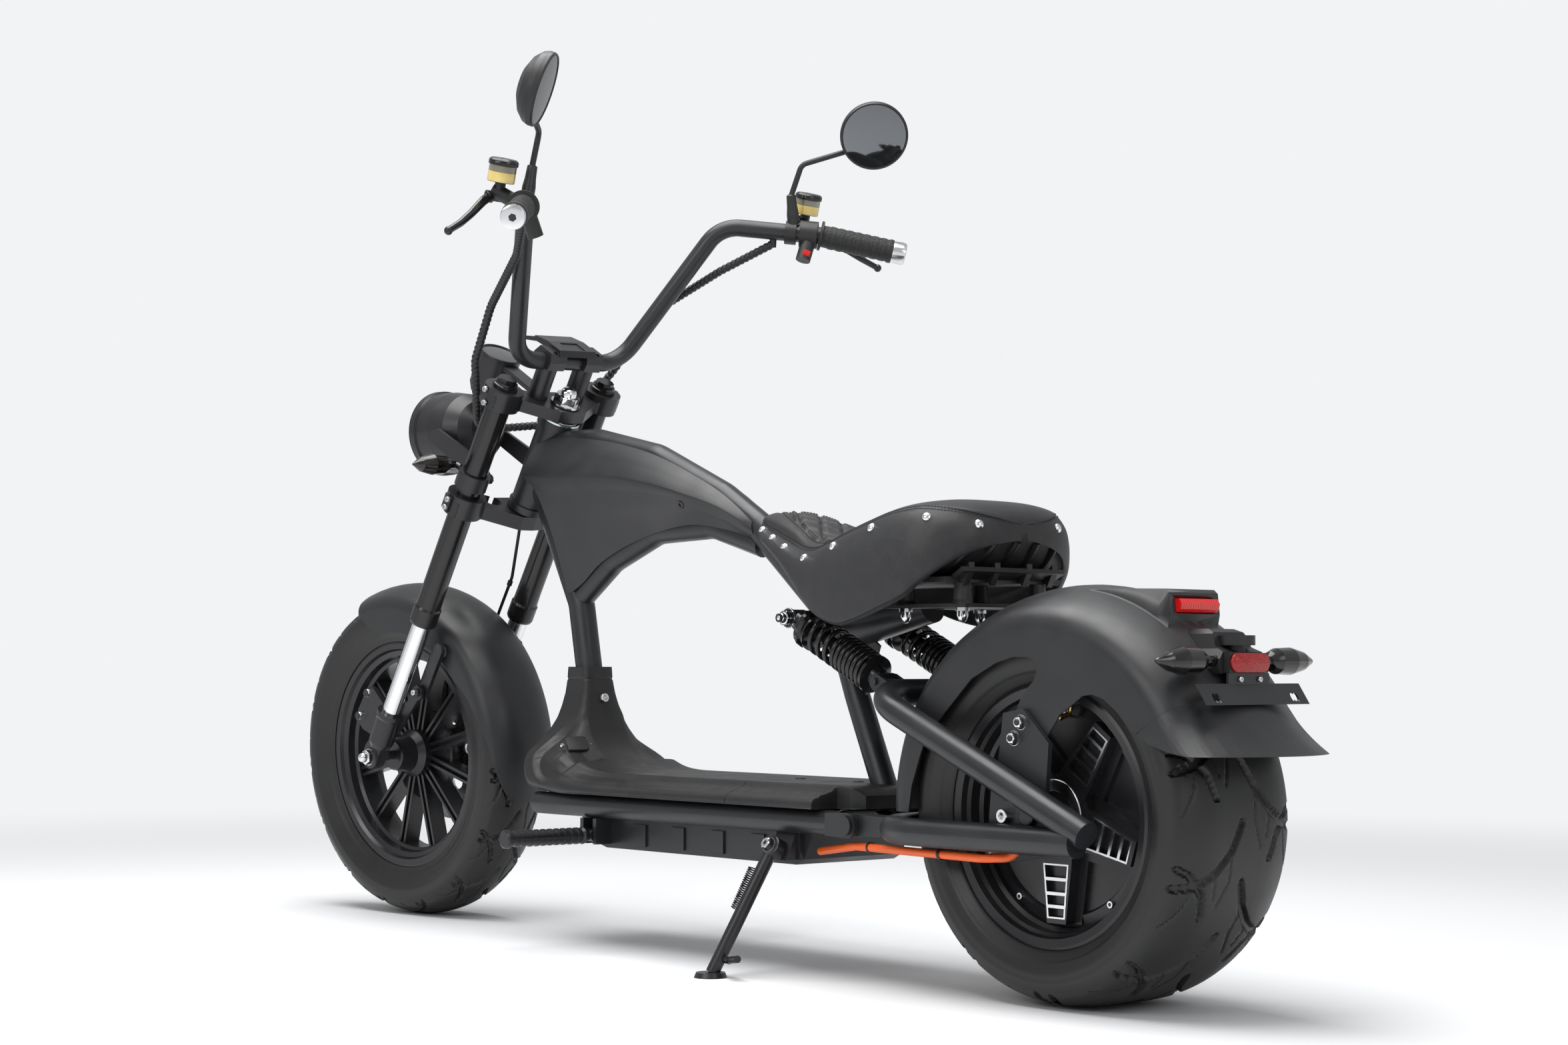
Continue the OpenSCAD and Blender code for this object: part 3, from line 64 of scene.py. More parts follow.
def moved(*place):
    return Matrix.Translation(place)


# The frames that the groups are drawn in
axle_in = FORK_OFFSET * math.cos(math.radians(STEER_REST))
lean = math.asin(math.sin(math.radians(STEER_REST)) * math.sin(math.radians(RAKE)))
front_axle_z = (FRONT_R - FRONT_CROWN) * math.cos(lean) + FRONT_CROWN
steer_x = WHEELBASE - FORK_OFFSET * math.cos(math.radians(RAKE))
steer_z = front_axle_z - axle_in * math.sin(math.radians(RAKE))
BIKE = Matrix.Identity(4)
STEER = moved(steer_x, 0, steer_z) @ turning("Y", -RAKE) @ turning("Z", STEER_REST)
FRONT = STEER @ moved(FORK_OFFSET, 0, 0)
REAR = moved(0, 0, REAR_R)
WORLD = Matrix.Scale(0.001, 4) @ Matrix.Translation(-MIDDLE)


class Flow:
    """One value running through a material's shader."""

    def __init__(self, tree, socket=None):
        self.tree, self.socket = tree, socket

    def node(self, kind, links, out=0, **settings):
        made = self.tree.nodes.new(kind)
        for key, value in settings.items():
            setattr(made, key, value)
        for slot, value in links.items():
            if isinstance(value, Flow):
                self.tree.links.new(value.socket, made.inputs[slot])
            else:
                made.inputs[slot].default_value = value
        return Flow(self.tree, made.outputs[out])

    def math(self, operation, first, second):
        return self.node("ShaderNodeMath", {0: first, 1: second}, operation=operation)

    def __add__(self, other):
        return self.math("ADD", self, other)

    def __sub__(self, other):
        return self.math("SUBTRACT", self, other)

    def __rsub__(self, other):
        return self.math("SUBTRACT", other, self)

    def __mul__(self, other):
        return self.math("MULTIPLY", self, other)

    __radd__, __rmul__ = __add__, __mul__

    def noise(self, scale, detail=3):
        return self.node("ShaderNodeTexNoise", {"Vector": self, "Scale": scale, "Detail": detail})

    def cells(self, scale, feature="F1"):
        return self.node("ShaderNodeTexVoronoi", {"Vector": self, "Scale": scale}, feature=feature)

    def waves(self, scale, axis="X", kind="BANDS"):
        return self.node("ShaderNodeTexWave", {"Vector": self, "Scale": scale}, wave_type=kind,
                         **{"bands_direction" if kind == "BANDS" else "rings_direction": axis})

    def seen(self, low, high, to_low=0.0, to_high=1.0):
        return self.node("ShaderNodeMapRange", {0: self, 1: low, 2: high, 3: to_low, 4: to_high},
                         interpolation_type="SMOOTHSTEP")

    def blend(self, first, second):
        return self.node("ShaderNodeMix", {0: self, 6: (*first, 1), 7: (*second, 1)}, out=2, data_type="RGBA")

    def mottle(self, scale, first, second):
        """Two colours that drift into each other."""
        return self.noise(scale, 2).seen(0.3, 0.7).blend(first, second)


def finish(name, make):
    """Material from a function of the object's coordinates that gives the shader's sockets."""
    mat = bpy.data.materials.new(name)
    mat.use_nodes = True
    tree = mat.node_tree
    shader = tree.nodes["Principled BSDF"]
    at = Flow(tree).node("ShaderNodeTexCoord", {}, out="Object")
    for slot, value in make(at).items():
        if slot == "Bump":
            height, distance = value
            value = at.node("ShaderNodeBump", {"Height": height, "Distance": distance})
            slot = "Normal"
        if isinstance(value, Flow):
            tree.links.new(value.socket, shader.inputs[slot])
        else:
            shader.inputs[slot].default_value = (*value, 1) if isinstance(value, tuple) else value
    return mat


def coat(name, color, rough, grain=0.00003, scale=1500, spread=0.06, **more):
    """Paint or plastic: a slightly uneven colour and gloss over a fine grain."""
    dark = tuple(c * 0.86 for c in color)

    def make(at):
        wide = at.noise(14, 2)
        return {"Base Color": wide.seen(0.3, 0.7).blend(dark, color),
                "Roughness": wide.seen(0.3, 0.7, rough - spread, rough + spread),
                "Bump": (at.noise(scale, 2), grain), **more}
    return finish(name, make)


def metal(name, color, rough, spread=0.05, **more):
    """Bare or plated metal with faint wiping marks."""
    def make(at):
        return {"Base Color": color, "Metallic": 1.0,
                "Roughness": at.noise(60, 4).seen(0.3, 0.7, rough - spread * 0.5, rough + spread), **more}
    return finish(name, make)


powder = coat("powder_coat", (0.017, 0.018, 0.021), 0.36, 0.00004, 1800)
satin = coat("satin_paint", (0.0185, 0.019, 0.0205), 0.41, 0.00003, 2200)
gloss = coat("gloss_black", (0.010, 0.010, 0.011), 0.17, 0.00001, 700, 0.03)
half_gloss = coat("half_gloss_black", (0.014, 0.014, 0.016), 0.30, 0.00002, 1500)
anodised = coat("anodised_black", (0.016, 0.016, 0.018), 0.34, 0.00002, 2600)
nylon = coat("black_nylon", (0.013, 0.013, 0.014), 0.46, 0.00004, 1200)
orange = coat("orange_cable", (0.90, 0.13, 0.015), 0.38, 0.00003, 900)
button_red = coat("button_red", (0.75, 0.015, 0.012), 0.35)
chrome = metal("chrome", (0.80, 0.81, 0.82), 0.06, 0.03)
bright = metal("bright_steel", (0.72, 0.73, 0.74), 0.20)
zinc = metal("zinc_plate", (0.55, 0.60, 0.60), 0.26)
brass = metal("brass", (0.80, 0.56, 0.22), 0.25)
mirror_glass = metal("mirror_glass", (0.16, 0.17, 0.18), 0.03, 0.01)


def deck_make(at):
    grain = at.cells(620) * 0.8 + at.noise(900, 2) * 0.4
    return {"Base Color": at.mottle(9, (0.009, 0.009, 0.0098), (0.0135, 0.0135, 0.0142)),
            "Roughness": at.noise(40, 3).seen(0.3, 0.7, 0.40, 0.52), "Bump": (grain, 0.00022)}


def rubber_make(at):
    wear = at.noise(11, 3)
    return {"Base Color": wear.seen(0.35, 0.75).blend((0.0068, 0.0068, 0.0072), (0.0115, 0.0115, 0.012)),
            "Roughness": wear.seen(0.3, 0.7, 0.38, 0.50), "Bump": (at.noise(700, 4), 0.00005)}


def leather_make(at):
    pores = at.cells(760, "DISTANCE_TO_EDGE").seen(0.0, 0.10)
    folds = at.noise(70, 3)
    return {"Base Color": folds.seen(0.3, 0.75).blend((0.0135, 0.0135, 0.015), (0.019, 0.019, 0.0205)),
            "Roughness": pores.seen(0.0, 1.0, 0.56, 0.42), "Bump": (pores * 0.7 + folds * 0.8, 0.00020)}


def disc_make(at):
    return {"Base Color": (0.56, 0.57, 0.58), "Metallic": 1.0,
            "Roughness": at.noise(380, 2).seen(0.2, 0.8, 0.22, 0.38),
            "Bump": (at.noise(1200, 2), 0.00002)}


def grip_make(at):
    knurl = at.cells(240).seen(0.05, 0.5)
    return {"Base Color": (0.014, 0.014, 0.014), "Roughness": knurl.seen(0, 1, 0.66, 0.54),
            "Bump": (knurl, 0.0004)}


def lens_make(color, low, **more):
    """Ribbed lens."""
    def make(at):
        ribs = at.waves(70, "Y")
        return {"Base Color": ribs.seen(0.2, 0.9).blend(tuple(c * 0.55 for c in color), color),
                "Roughness": ribs.seen(0, 1, low, low + 0.08), "Coat Weight": 0.4, "Bump": (ribs, 0.0003),
                **more}
    return make


def clear_make(scale, first, second, rough):
    """Clear plastic or glass with its content showing as two mottled colours."""
    return lambda at: {"Base Color": at.mottle(scale, first, second), "Roughness": rough, "Coat Weight": 1.0}


def reflector_make(at):
    cube = at.cells(420).seen(0.0, 0.55)
    return {"Base Color": cube.blend((0.72, 0.006, 0.005), (0.30, 0.001, 0.001)),
            "Roughness": 0.26, "Coat Weight": 0.25, "Bump": (cube, 0.0004)}


def smoked_make(at):
    inner = at.waves(45, "X")
    return {"Base Color": inner.seen(0.4, 0.9).blend((0.004, 0.004, 0.0045), (0.014, 0.010, 0.009)),
            "Roughness": 0.16, "Coat Weight": 0.3, "Bump": (inner, 0.0002)}


deck_plastic = finish("grained_plastic", deck_make)
rubber = finish("tyre_rubber", rubber_make)
leather = finish("seat_leather", leather_make)
disc_steel = finish("disc_steel", disc_make)
grip_rubber = finish("grip_rubber", grip_make)
tail_red = finish("tail_lens", lens_make(
    (0.74, 0.006, 0.005), 0.18, **{"Emission Color": (0.7, 0.004, 0.004), "Emission Strength": 0.22}))
reflector_red = finish("reflector_red", reflector_make)
smoked = finish("smoked_lens", smoked_make)
clear_lens = finish("lamp_lens", lens_make((0.62, 0.66, 0.70), 0.05))
fluid = finish("brake_fluid", clear_make(30, (0.72, 0.52, 0.12), (0.90, 0.70, 0.24), 0.08))
cup_clear = finish("cup_clear", clear_make(30, (0.16, 0.15, 0.11), (0.26, 0.24, 0.17), 0.07))
gauge_glass = finish("gauge_glass", clear_make(20, (0.020, 0.022, 0.026), (0.035, 0.038, 0.042), 0.03))
thread = coat("thread", (0.030, 0.030, 0.032), 0.62, 0.00002, 4000)


def curved(a, b, c, d, f):
    """Smooth curve read at f between b and c, with a before them and d after them."""
    return 0.5 * (2 * b + (c - a) * f + (2 * a - 5 * b + 4 * c - d) * f ** 2 + (3 * b - a - 3 * c + d) * f ** 3)


def flow_at(rows, t):
    """Smooth curve through rows, read at fractional indices."""
    rows = np.asarray(rows, float)
    low = np.clip(np.floor(t).astype(int), 0, len(rows) - 2)
    near = (rows[np.clip(low + k, 0, len(rows) - 1)] for k in (-1, 0, 1, 2))
    return curved(*near, (t - low)[:, None])


def round_flow(rings, v):
    """Smooth closed curve through each row of ring points, read at v from 0 to 1."""
    count = rings.shape[1]
    turn = v * count
    low = np.floor(turn).astype(int)
    near = (rings[np.arange(len(v)), (low + k) % count] for k in (-1, 0, 1, 2))
    return curved(*near, (turn - low)[:, None])


def way_along(points):
    """Distance of each point from the first one, along them."""
    return np.concatenate([[0], np.cumsum(np.linalg.norm(np.diff(points, axis=0), axis=1))])


def dent(gap, width):
    """1 on a line, falling to 0 away from it."""
    return np.exp(-(gap / width) ** 2)


def close(bm, dist=0.01):
    """Weld points that meet and turn the faces outward."""
    bmesh.ops.remove_doubles(bm, verts=bm.verts, dist=dist)
    bmesh.ops.recalc_face_normals(bm, faces=bm.faces)
    return bm


def capped(bm, dist=0.01):
    """Close the open ends too."""
    bmesh.ops.holes_fill(bm, edges=bm.edges, sides=0)
    return close(bm, dist)


def sheet(rows, cols, shape):
    """Grid whose points are placed by a function of u and v, each from 0 to 1."""
    bm = bmesh.new()
    bmesh.ops.create_grid(bm, x_segments=rows, y_segments=cols, size=1)
    flat = np.array([v.co[:2] for v in bm.verts])
    flat = (flat - flat.min(axis=0)) / (flat.max(axis=0) - flat.min(axis=0))
    for vert, spot in zip(bm.verts, shape(flat[:, 0], flat[:, 1]).tolist()):
        vert.co = spot
    return close(bm)


def lathe(rows, steps=48):
    """Turning about Z from rows of height and diameter, a third value giving a row that many flats."""
    bm = bmesh.new()
    verts = [bm.verts.new((max(row[1], 0.001) / 2, 0, row[0])) for row in rows]
    edges = [bm.edges.new(pair) for pair in zip(verts, verts[1:])]
    bmesh.ops.spin(bm, geom=verts + edges, cent=(0, 0, 0), axis=(0, 0, 1), angle=math.tau, steps=steps,
                   use_merge=True)
    flats = {(round(row[0], 3), round(row[1] / 2, 3)): row[2] for row in rows if len(row) > 2}
    for vert in bm.verts:
        radius = math.hypot(vert.co.x, vert.co.y)
        sides = flats.get((round(vert.co.z, 3), round(radius, 3)))
        if sides:
            step = math.tau / sides
            spot = (math.atan2(vert.co.y, vert.co.x) % step) - step / 2
            vert.co.xy *= math.cos(step / 2) / math.cos(spot)
    return close(bm, 0.002)


def towards(place, way):
    """Matrix that stands a turning at a place, along a direction."""
    way = Vector(way).normalized()
    return Matrix.Translation(place) @ way.to_track_quat("Z", "Y").to_matrix().to_4x4()


def prism(outline, low, high, round_off=0, segments=2):
    """Flat outline in XY, raised from low to high, with its edges rounded."""
    bm = bmesh.new()
    verts = [bm.verts.new((x, y, low)) for x, y in outline]
    face = bm.faces.new(verts)
    raised = bmesh.ops.extrude_face_region(bm, geom=[face])["geom"]
    raised = [g for g in raised if isinstance(g, bmesh.types.BMVert)]
    bmesh.ops.translate(bm, vec=(0, 0, high - low), verts=raised)
    if round_off:
        bmesh.ops.bevel(bm, geom=list(bm.edges), offset=round_off, affect="EDGES", segments=segments,
                        profile=0.5, material=-1)
    return close(bm)


def rounded(points, radius, steps=8):
    """Path through points with its corners rounded."""
    points = [Vector(p) for p in points]
    path = [points[0]]
    for back, here, on in zip(points, points[1:], points[2:]):
        a, b = (back - here), (on - here)
        reach = min(radius * math.tan((math.pi - a.angle(b)) / 2), a.length * 0.48, b.length * 0.48)
        first, last = here + a.normalized() * reach, here + b.normalized() * reach
        path += [first.lerp(here, f).lerp(here.lerp(last, f), f) for f in (k / steps for k in range(steps + 1))]
    return path + [points[-1]]


def hose(path, radius, around=12, step=2.0, ridge=None):
    """Round skin along a path; ridge gives the radius along the way and around."""
    path = [Vector(p) for p in path]
    far = np.concatenate([[0], np.cumsum([(b - a).length for a, b in zip(path, path[1:])])])
    rows = max(2, int(far[-1] / step))
    spots = np.array([[np.interp(d, far, [p[k] for p in path]) for k in range(3)]
                      for d in np.linspace(0, far[-1], rows + 1)])
    ways = np.gradient(spots, axis=0)
    ways /= np.linalg.norm(ways, axis=1)[:, None]
    side = Vector(ways[0]).orthogonal().normalized()
    sides = []
    for way in ways:
        side = (side - Vector(way) * side.dot(Vector(way))).normalized()
        sides.append(side[:])
    sides = np.array(sides)
    ups = np.cross(ways, sides)

    def shape(u, v):
        k = np.round(u * rows).astype(int)
        turn = v * math.tau
        r = radius if ridge is None else ridge(u * far[-1], turn)
        r = np.broadcast_to(r, u.shape)[:, None]
        return spots[k] + r * (sides[k] * np.cos(turn)[:, None] + ups[k] * np.sin(turn)[:, None])
    return capped(sheet(rows, around, shape))


def mesh_of(parts):
    """One mesh from parts, each a bmesh, or a bmesh with its matrix or matrices."""
    whole = bmesh.new()
    for part in parts:
        part, places = part if isinstance(part, tuple) else (part, BIKE)
        for place in places if isinstance(places, list) else [places]:
            copy = part.copy()
            copy.transform(place)
            if place.determinant() < 0:
                bmesh.ops.reverse_faces(copy, faces=copy.faces)
            step = bpy.data.meshes.new("step")
            copy.to_mesh(step)
            copy.free()
            whole.from_mesh(step)
            bpy.data.meshes.remove(step)
    return whole


def add_mesh(name, bm, body, material, angle):
    """Object from a bmesh, shaded smooth up to an angle and riding on a body."""
    mesh = bpy.data.meshes.new(name)
    bm.to_mesh(mesh)
    bm.free()
    mesh.materials.append(material)
    mesh.shade_smooth()
    mesh.set_sharp_from_angle(angle=math.radians(angle))
    obj = bpy.data.objects.new(name, mesh)
    scene.collection.objects.link(obj)
    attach(obj, body)
    return obj


def piece(name, parts, body, material, space=BIKE, angle=38, hides=()):
    """Placed piece of the scooter; hides names the nodes that it stands for."""
    whole = mesh_of(parts if isinstance(parts, list) else [parts])
    whole.transform(WORLD @ space)
    obj = add_mesh(name, whole, body, material, angle)
    if hides:
        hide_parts(*hides)
    return obj


def steered(name, shape, places, material):
    """One shape at its places on the steering."""
    return piece(name, [(shape, places)], "steering", material, STEER)


def fixed(name, shape, places, material, space=BIKE, **more):
    """One shape at its places on the chassis."""
    return piece(name, [(shape, places)], "chassis", material, space, **more)


MIRROR_Y = Matrix.Scale(-1, 4, (0, 1, 0))


def sides_of(*places):
    """Places on the left, each with its mirror on the right."""
    return [side for place in places for side in (place, MIRROR_Y @ place)]


def on(*place):
    """Facing left at a place."""
    return towards(place, (0, 1, 0))


def scaled(place, size):
    return place @ Matrix.Scale(size, 4)


BOTH_SIDES = sides_of(BIKE)


def add_camera():
    data = bpy.data.cameras.new("camera")
    data.lens = CAM_LENS
    data.sensor_width = 36
    data.clip_start = 0.05
    data.clip_end = 100
    turn = Matrix((CAM_RIGHT, CAM_UP, -CAM_AHEAD)).transposed().to_4x4()
    camera = bpy.data.objects.new("camera", data)
    camera.matrix_world = Matrix.Translation(CAM_PLACE) @ turn
    scene.collection.objects.link(camera)
    scene.camera = camera


BACKDROP = (0.885, 0.895, 0.91)
FLOOR_FADE = (1.2, 4.2)
GLOSSY_SHARE, AMBIENT = 0.34, 0.32


def add_floor():
    """Pale floor that fades into the backdrop's colour far from the scooter."""
    bpy.ops.mesh.primitive_plane_add(size=60, location=(0, 0, 0))
    floor = bpy.context.object
    floor.name = "floor"
    mat = bpy.data.materials.new("studio_floor")
    mat.use_nodes = True
    tree = mat.node_tree
    shader = tree.nodes["Principled BSDF"]
    shader.inputs["Base Color"].default_value = (0.93, 0.935, 0.945, 1)
    shader.inputs["Roughness"].default_value = 0.7
    at = Flow(tree).node("ShaderNodeTexCoord", {}, out="Object")
    far = at.node("ShaderNodeVectorMath", {0: at}, out="Value", operation="LENGTH").seen(*FLOOR_FADE)
    glow = at.node("ShaderNodeEmission", {"Color": (*BACKDROP, 1), "Strength": 1.0})
    both = at.node("ShaderNodeMixShader", {0: far, 1: Flow(tree, shader.outputs[0]), 2: glow})
    tree.links.new(both.socket, tree.nodes["Material Output"].inputs["Surface"])
    floor.data.materials.append(mat)


def add_lamp(name, place, aim, size, energy):
    data = bpy.data.lights.new(name, "AREA")
    data.energy = energy
    data.shape = "RECTANGLE"
    data.size, data.size_y = size
    lamp = bpy.data.objects.new(name, data)
    lamp.location = place
    lamp.rotation_euler = (Vector(aim) - lamp.location).to_track_quat("-Z", "Y").to_euler()
    scene.collection.objects.link(lamp)


def add_world():
    """Backdrop seen in full by the camera, less of it in reflections, and least as fill light."""
    world = bpy.data.worlds.new("studio")
    scene.world = world
    world.use_nodes = True
    tree = world.node_tree
    path = Flow(tree).node("ShaderNodeLightPath", {}, out="Is Camera Ray")
    lit = path.socket.node
    seen = path.math("MAXIMUM", path, Flow(tree, lit.outputs["Is Glossy Ray"]) * GLOSSY_SHARE)
    seen = seen.math("MAXIMUM", seen, Flow(tree, lit.outputs["Is Transmission Ray"]))
    shader = tree.nodes["Background"]
    shader.inputs["Color"].default_value = (*BACKDROP, 1)
    strength = seen * (1 - AMBIENT) + AMBIENT
    tree.links.new(strength.socket, shader.inputs["Strength"])


add_camera()
add_floor()
add_world()
add_lamp("top_soft", (0.1, 0.5, 3.4), (0, 0.1, 0.3), (3.4, 2.6), 150)
add_lamp("left_soft", (-0.6, 3.6, 2.2), (0, 0, 0.5), (2.6, 1.2), 30)
add_lamp("rear_soft", (-3.8, 0.2, 2.0), (-0.4, 0, 0.4), (1.4, 1.6), 18)
scene.view_settings.view_transform = "Standard"

NODE_FINISH = {
    powder: ("head_tube", "backbone", "arch_tube", "down_tube", "frame_rails", "seat_stay", "swingarm_upper",
             "swingarm_lower", "battery_box", "rear_axle", "plate_bracket", "handlebar"),
    satin: ("side_covers", "rear_fender", "front_fender"),
    gloss: ("shocks", "shock_springs", "fork_tubes", "brake_levers"),
    half_gloss: ("front_rim", "rear_rim", "hub_motor", "rear_caliper", "front_caliper", "fork_lowers",
                 "side_stand", "peg_left", "peg_right", "reservoirs"),
    anodised: ("lower_clamp", "upper_clamp", "bar_clamp", "gauge", "headlamp"),
    nylon: ("hand_controls", "mirrors", "seat_bracket", "seat_pan", "tail_unit", "control_looms"),
    deck_plastic: ("deck_front", "deck_rear"),
    rubber: ("front_tyre", "rear_tyre"),
    leather: ("seat_pad",),
    disc_steel: ("front_disc", "rear_disc"),
    chrome: ("fork_stanchions",),
    grip_rubber: ("grips",),
    tail_red: ("tail_lamp",),
    smoked: ("rear_indicators", "front_indicators"),
    orange: ("motor_cable",),
}
for material, names in NODE_FINISH.items():
    for name in names:
        nodes[name].data.materials.clear()
        nodes[name].data.materials.append(material)


def eased(node_name, body, material, lip=None):
    """The node's own shape with its shallow facets shaded smooth, and its lower lip curled out.

    The lip is given by its foot and height, by how far back it starts (metres, in the world), and by
    how far it curls back and to the sides.
    """
    bm = bmesh.new()
    bm.from_mesh(nodes[node_name].data)
    bmesh.ops.remove_doubles(bm, verts=bm.verts, dist=0.00001)
    if lip:
        foot, high, behind, out, spread = lip
        for k in range(9):
            bmesh.ops.bisect_plane(bm, geom=bm.verts[:] + bm.edges[:] + bm.faces[:], dist=0.000001,
                                   plane_co=(0, 0, (foot + high * k / 9) / 1000), plane_no=(0, 0, 1))
        for vert in bm.verts:
            if vert.co.x < behind:
                curl = max(0.0, 1 - (vert.co.z * 1000 - foot) / high) ** 2
                vert.co.x -= out * curl / 1000
                vert.co.y += spread * curl * (vert.co.y - WORLD.translation.y) / 0.1 / 1000
    obj = add_mesh(node_name + "_skin", bm, body, material, 32)
    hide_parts(node_name)
    obj.modifiers.new("even_shading", "WEIGHTED_NORMAL").keep_sharp = True


eased("rear_fender", "chassis", satin, lip=(REAR_R + 80.6, 46, -0.9, 13, 7))
eased("front_fender", "steering", satin)


def outward(skin, u, v, step=0.002):
    """Unit directions square to a skin that runs along u and round v."""
    along = skin(np.clip(u + step, 0, 1), v) - skin(np.clip(u - step, 0, 1), v)
    turned = skin(u, v + step) - skin(u, v - step)
    out = np.cross(along, turned)
    return out / np.maximum(np.linalg.norm(out, axis=1), 1e-9)[:, None]


# Deck: stations with the top point, the bottom point (x and z each), and the neck's share of the section
DECK_SEAM, DECK_TOP, DECK_BASE = 585, 262, 229.8
DECK = [(350, 249, 350, 231, 0), (364, 258.5, 364, DECK_BASE, 0), (392, 262, 392, DECK_BASE, 0)] + [
    (x, DECK_TOP, x, DECK_BASE, 0) for x in (450, 520, DECK_SEAM, 650, 720, 790, 860)] + [
    (905, 262.5, 905, DECK_BASE, 0), (940, 266, 944, 229, 0.10), (968, 273.5, 982, 228, 0.30),
    (992, 284, 1018, 227.6, 0.55), (1010, 297, 1054, 228, 0.80), (1024, 315, 1090, 234, 0.95),
    (1034, 338, 1109, 268, 1), (1041, 362, 1112, 312, 1), (1045, 384, 1110, 352, 1), (1048, 401, 1107, 388, 1),
    (1049, 412, 1106, 408, 1), (1050, 421, 1105, 421, 1)]
# Half sections: share of the way from top to bottom, and the floor's half width or the share of the neck's
FLOOR_ROW = [(0, 0), (0, 58), (0, 84), (0.05, 90), (0.21, 95), (0.27, 99), (0.40, 112), (0.47, 117),
             (0.58, 125), (0.74, 129.4), (0.92, 130), (1, 127), (1, 80), (1, 0)]
NECK_ROW = [(0, 0), (0, 0.40), (0.02, 0.70), (0.06, 0.88), (0.14, 0.97), (0.24, 1), (0.36, 1), (0.48, 1),
            (0.60, 1), (0.72, 1), (0.85, 0.98), (0.95, 0.84), (1, 0.5), (1, 0)]
# Half widths of the neck by height, and of the floor's tail by place
NECK_WIDE = [(222, 121), (245, 121), (266, 117), (280, 111), (289, 104), (300, 89), (312, 72), (326, 58),
             (342, 46), (360, 38), (380, 32), (400, 29), (406, 28.6), (422, 28)]
TAIL_WIDE = [(350, 76), (366, 88), (394, 89.5), (402, 131)]
# Dished sides of the neck's foot, and the groove under the neck's collar
DISH_PLACE, DISH_SIZE, DISH_DEEP, DISH_INNER, DISH_BLEND = (1026, 296), (50, 54), 8, 34, 30
COLLAR_HIGH, COLLAR_DEEP, COLLAR_WIDE, NECK_FROM = 402, 1.2, 1.6, 1030


def deck_base(u, v):
    """The deck before its dishes and groove, at u along it and v round it."""
    x0, z0, x1, z1, neck = flow_at(DECK, u * (len(DECK) - 1)).T
    neck = np.clip(neck, 0, 1)
    half = []
    for (s0, y0), (s1, part) in zip(FLOOR_ROW, NECK_ROW):
        s = s0 + (s1 - s0) * neck
        x, z = x0 + (x1 - x0) * s, z0 + (z1 - z0) * s
        wide = np.interp(z, *zip(*NECK_WIDE))
        floor = np.minimum(y0, np.interp(x, *zip(*TAIL_WIDE)))
        half.append((x, floor * (1 - neck) + part * wide * neck, z))
    full = half + [(x, -y, z) for x, y, z in half[-2:0:-1]]
    return round_flow(np.stack([np.stack(p, axis=1) for p in full], axis=1), v)


def deck_spot(u, v, lift=0.0):
    """A point on the finished deck and its outward direction."""
    u, v = np.atleast_1d(u).astype(float), np.atleast_1d(v).astype(float)
    here = deck_base(u, v)
    out = outward(deck_base, u, v)
    gap = np.hypot((here[:, 0] - DISH_PLACE[0]) / DISH_SIZE[0], (here[:, 2] - DISH_PLACE[1]) / DISH_SIZE[1])
    side = np.clip((np.abs(here[:, 1]) - DISH_INNER) / DISH_BLEND, 0, 1)
    rear = np.clip((0.5 - out[:, 0]) * 3, 0, 1)
    wall = np.clip((1.04 - gap) / 0.26, 0, 1)
    sink = DISH_DEEP * wall * wall * (3 - 2 * wall) * side * rear
    ring = COLLAR_DEEP * dent(here[:, 2] - COLLAR_HIGH, COLLAR_WIDE) * (here[:, 0] > NECK_FROM)
    return here - out * (sink + ring - lift)[:, None], out


SEAM_U = [row[0] for row in DECK].index(DECK_SEAM) / (len(DECK) - 1)


def deck_part(node_name, low, high, rows):
    """Skin of the deck between two stations."""
    bm = sheet(rows, 260, lambda u, v: deck_spot(low + (high - low) * u, v)[0])
    piece(node_name + "_skin", capped(bm), "chassis", deck_plastic, angle=44, hides=[node_name])


deck_part("deck_front", SEAM_U, 1, 300)
deck_part("deck_rear", 0, SEAM_U * 0.997, 120)

# Seat: sections from tail to nose, each with place, half width, side edge, underside, shoulder and top
SEAT = [
    [126, 8, 588, 598, 608, 612], [127, 32, 586, 598, 610, 616], [130, 58, 582, 595, 613, 622],
    [137, 84, 575, 589, 616, 629], [149, 108, 564, 579, 620, 636], [166, 127, 549, 561, 623, 641],
    [187, 140, 532, 549, 625, 644], [208, 147, 516, 545, 625, 645],
    [250, 151, 500, 543, 619, 643], [295, 151, 486, 543, 607, 634], [335, 148, 480, 543, 597, 622],
    [385, 138, 490, 543, 586, 606], [425, 124, 508, 543, 580, 599], [465, 109, 532, 553, 582, 604],
    [510, 92, 559, 569, 594, 624], [555, 75, 582, 588, 608, 638], [595, 58, 600, 604, 620, 645],
    [620, 40, 613, 616, 628, 644], [631, 20, 624, 626, 632, 640], [628, 8, 628, 630, 633, 636]]
RING = 22


def seat_rings(u):
    """Points round the seat at u along it, as an array of place, ring point and axis."""
    x, w, edge, under, shoulder, top = flow_at(SEAT, u * (len(SEAT) - 1)).T
    half = [(0 * w, under), (w * 0.6, under), (np.maximum(w - 18, w * 0.7), np.minimum(under, edge + 40)),
            (w - np.minimum(12, w * 0.2), edge + 1.5), (w - np.minimum(4, w * 0.1), edge + 0.5),
            (w, edge + np.minimum(9, (shoulder - edge) * 0.3)), (w, edge + (shoulder - edge) * 0.46),
            (w - np.minimum(6, w * 0.1), edge + (shoulder - edge) * 0.78),
            (w - np.minimum(20, w * 0.22), shoulder + 1), (w * 0.70, shoulder * 0.42 + top * 0.58),
            (w * 0.4, top - 1.5), (0 * w, top)]
    full = half + [(-y, z) for y, z in half[-2:0:-1]]
    return np.stack([np.stack([x, y, z], axis=1) for y, z in full], axis=1)


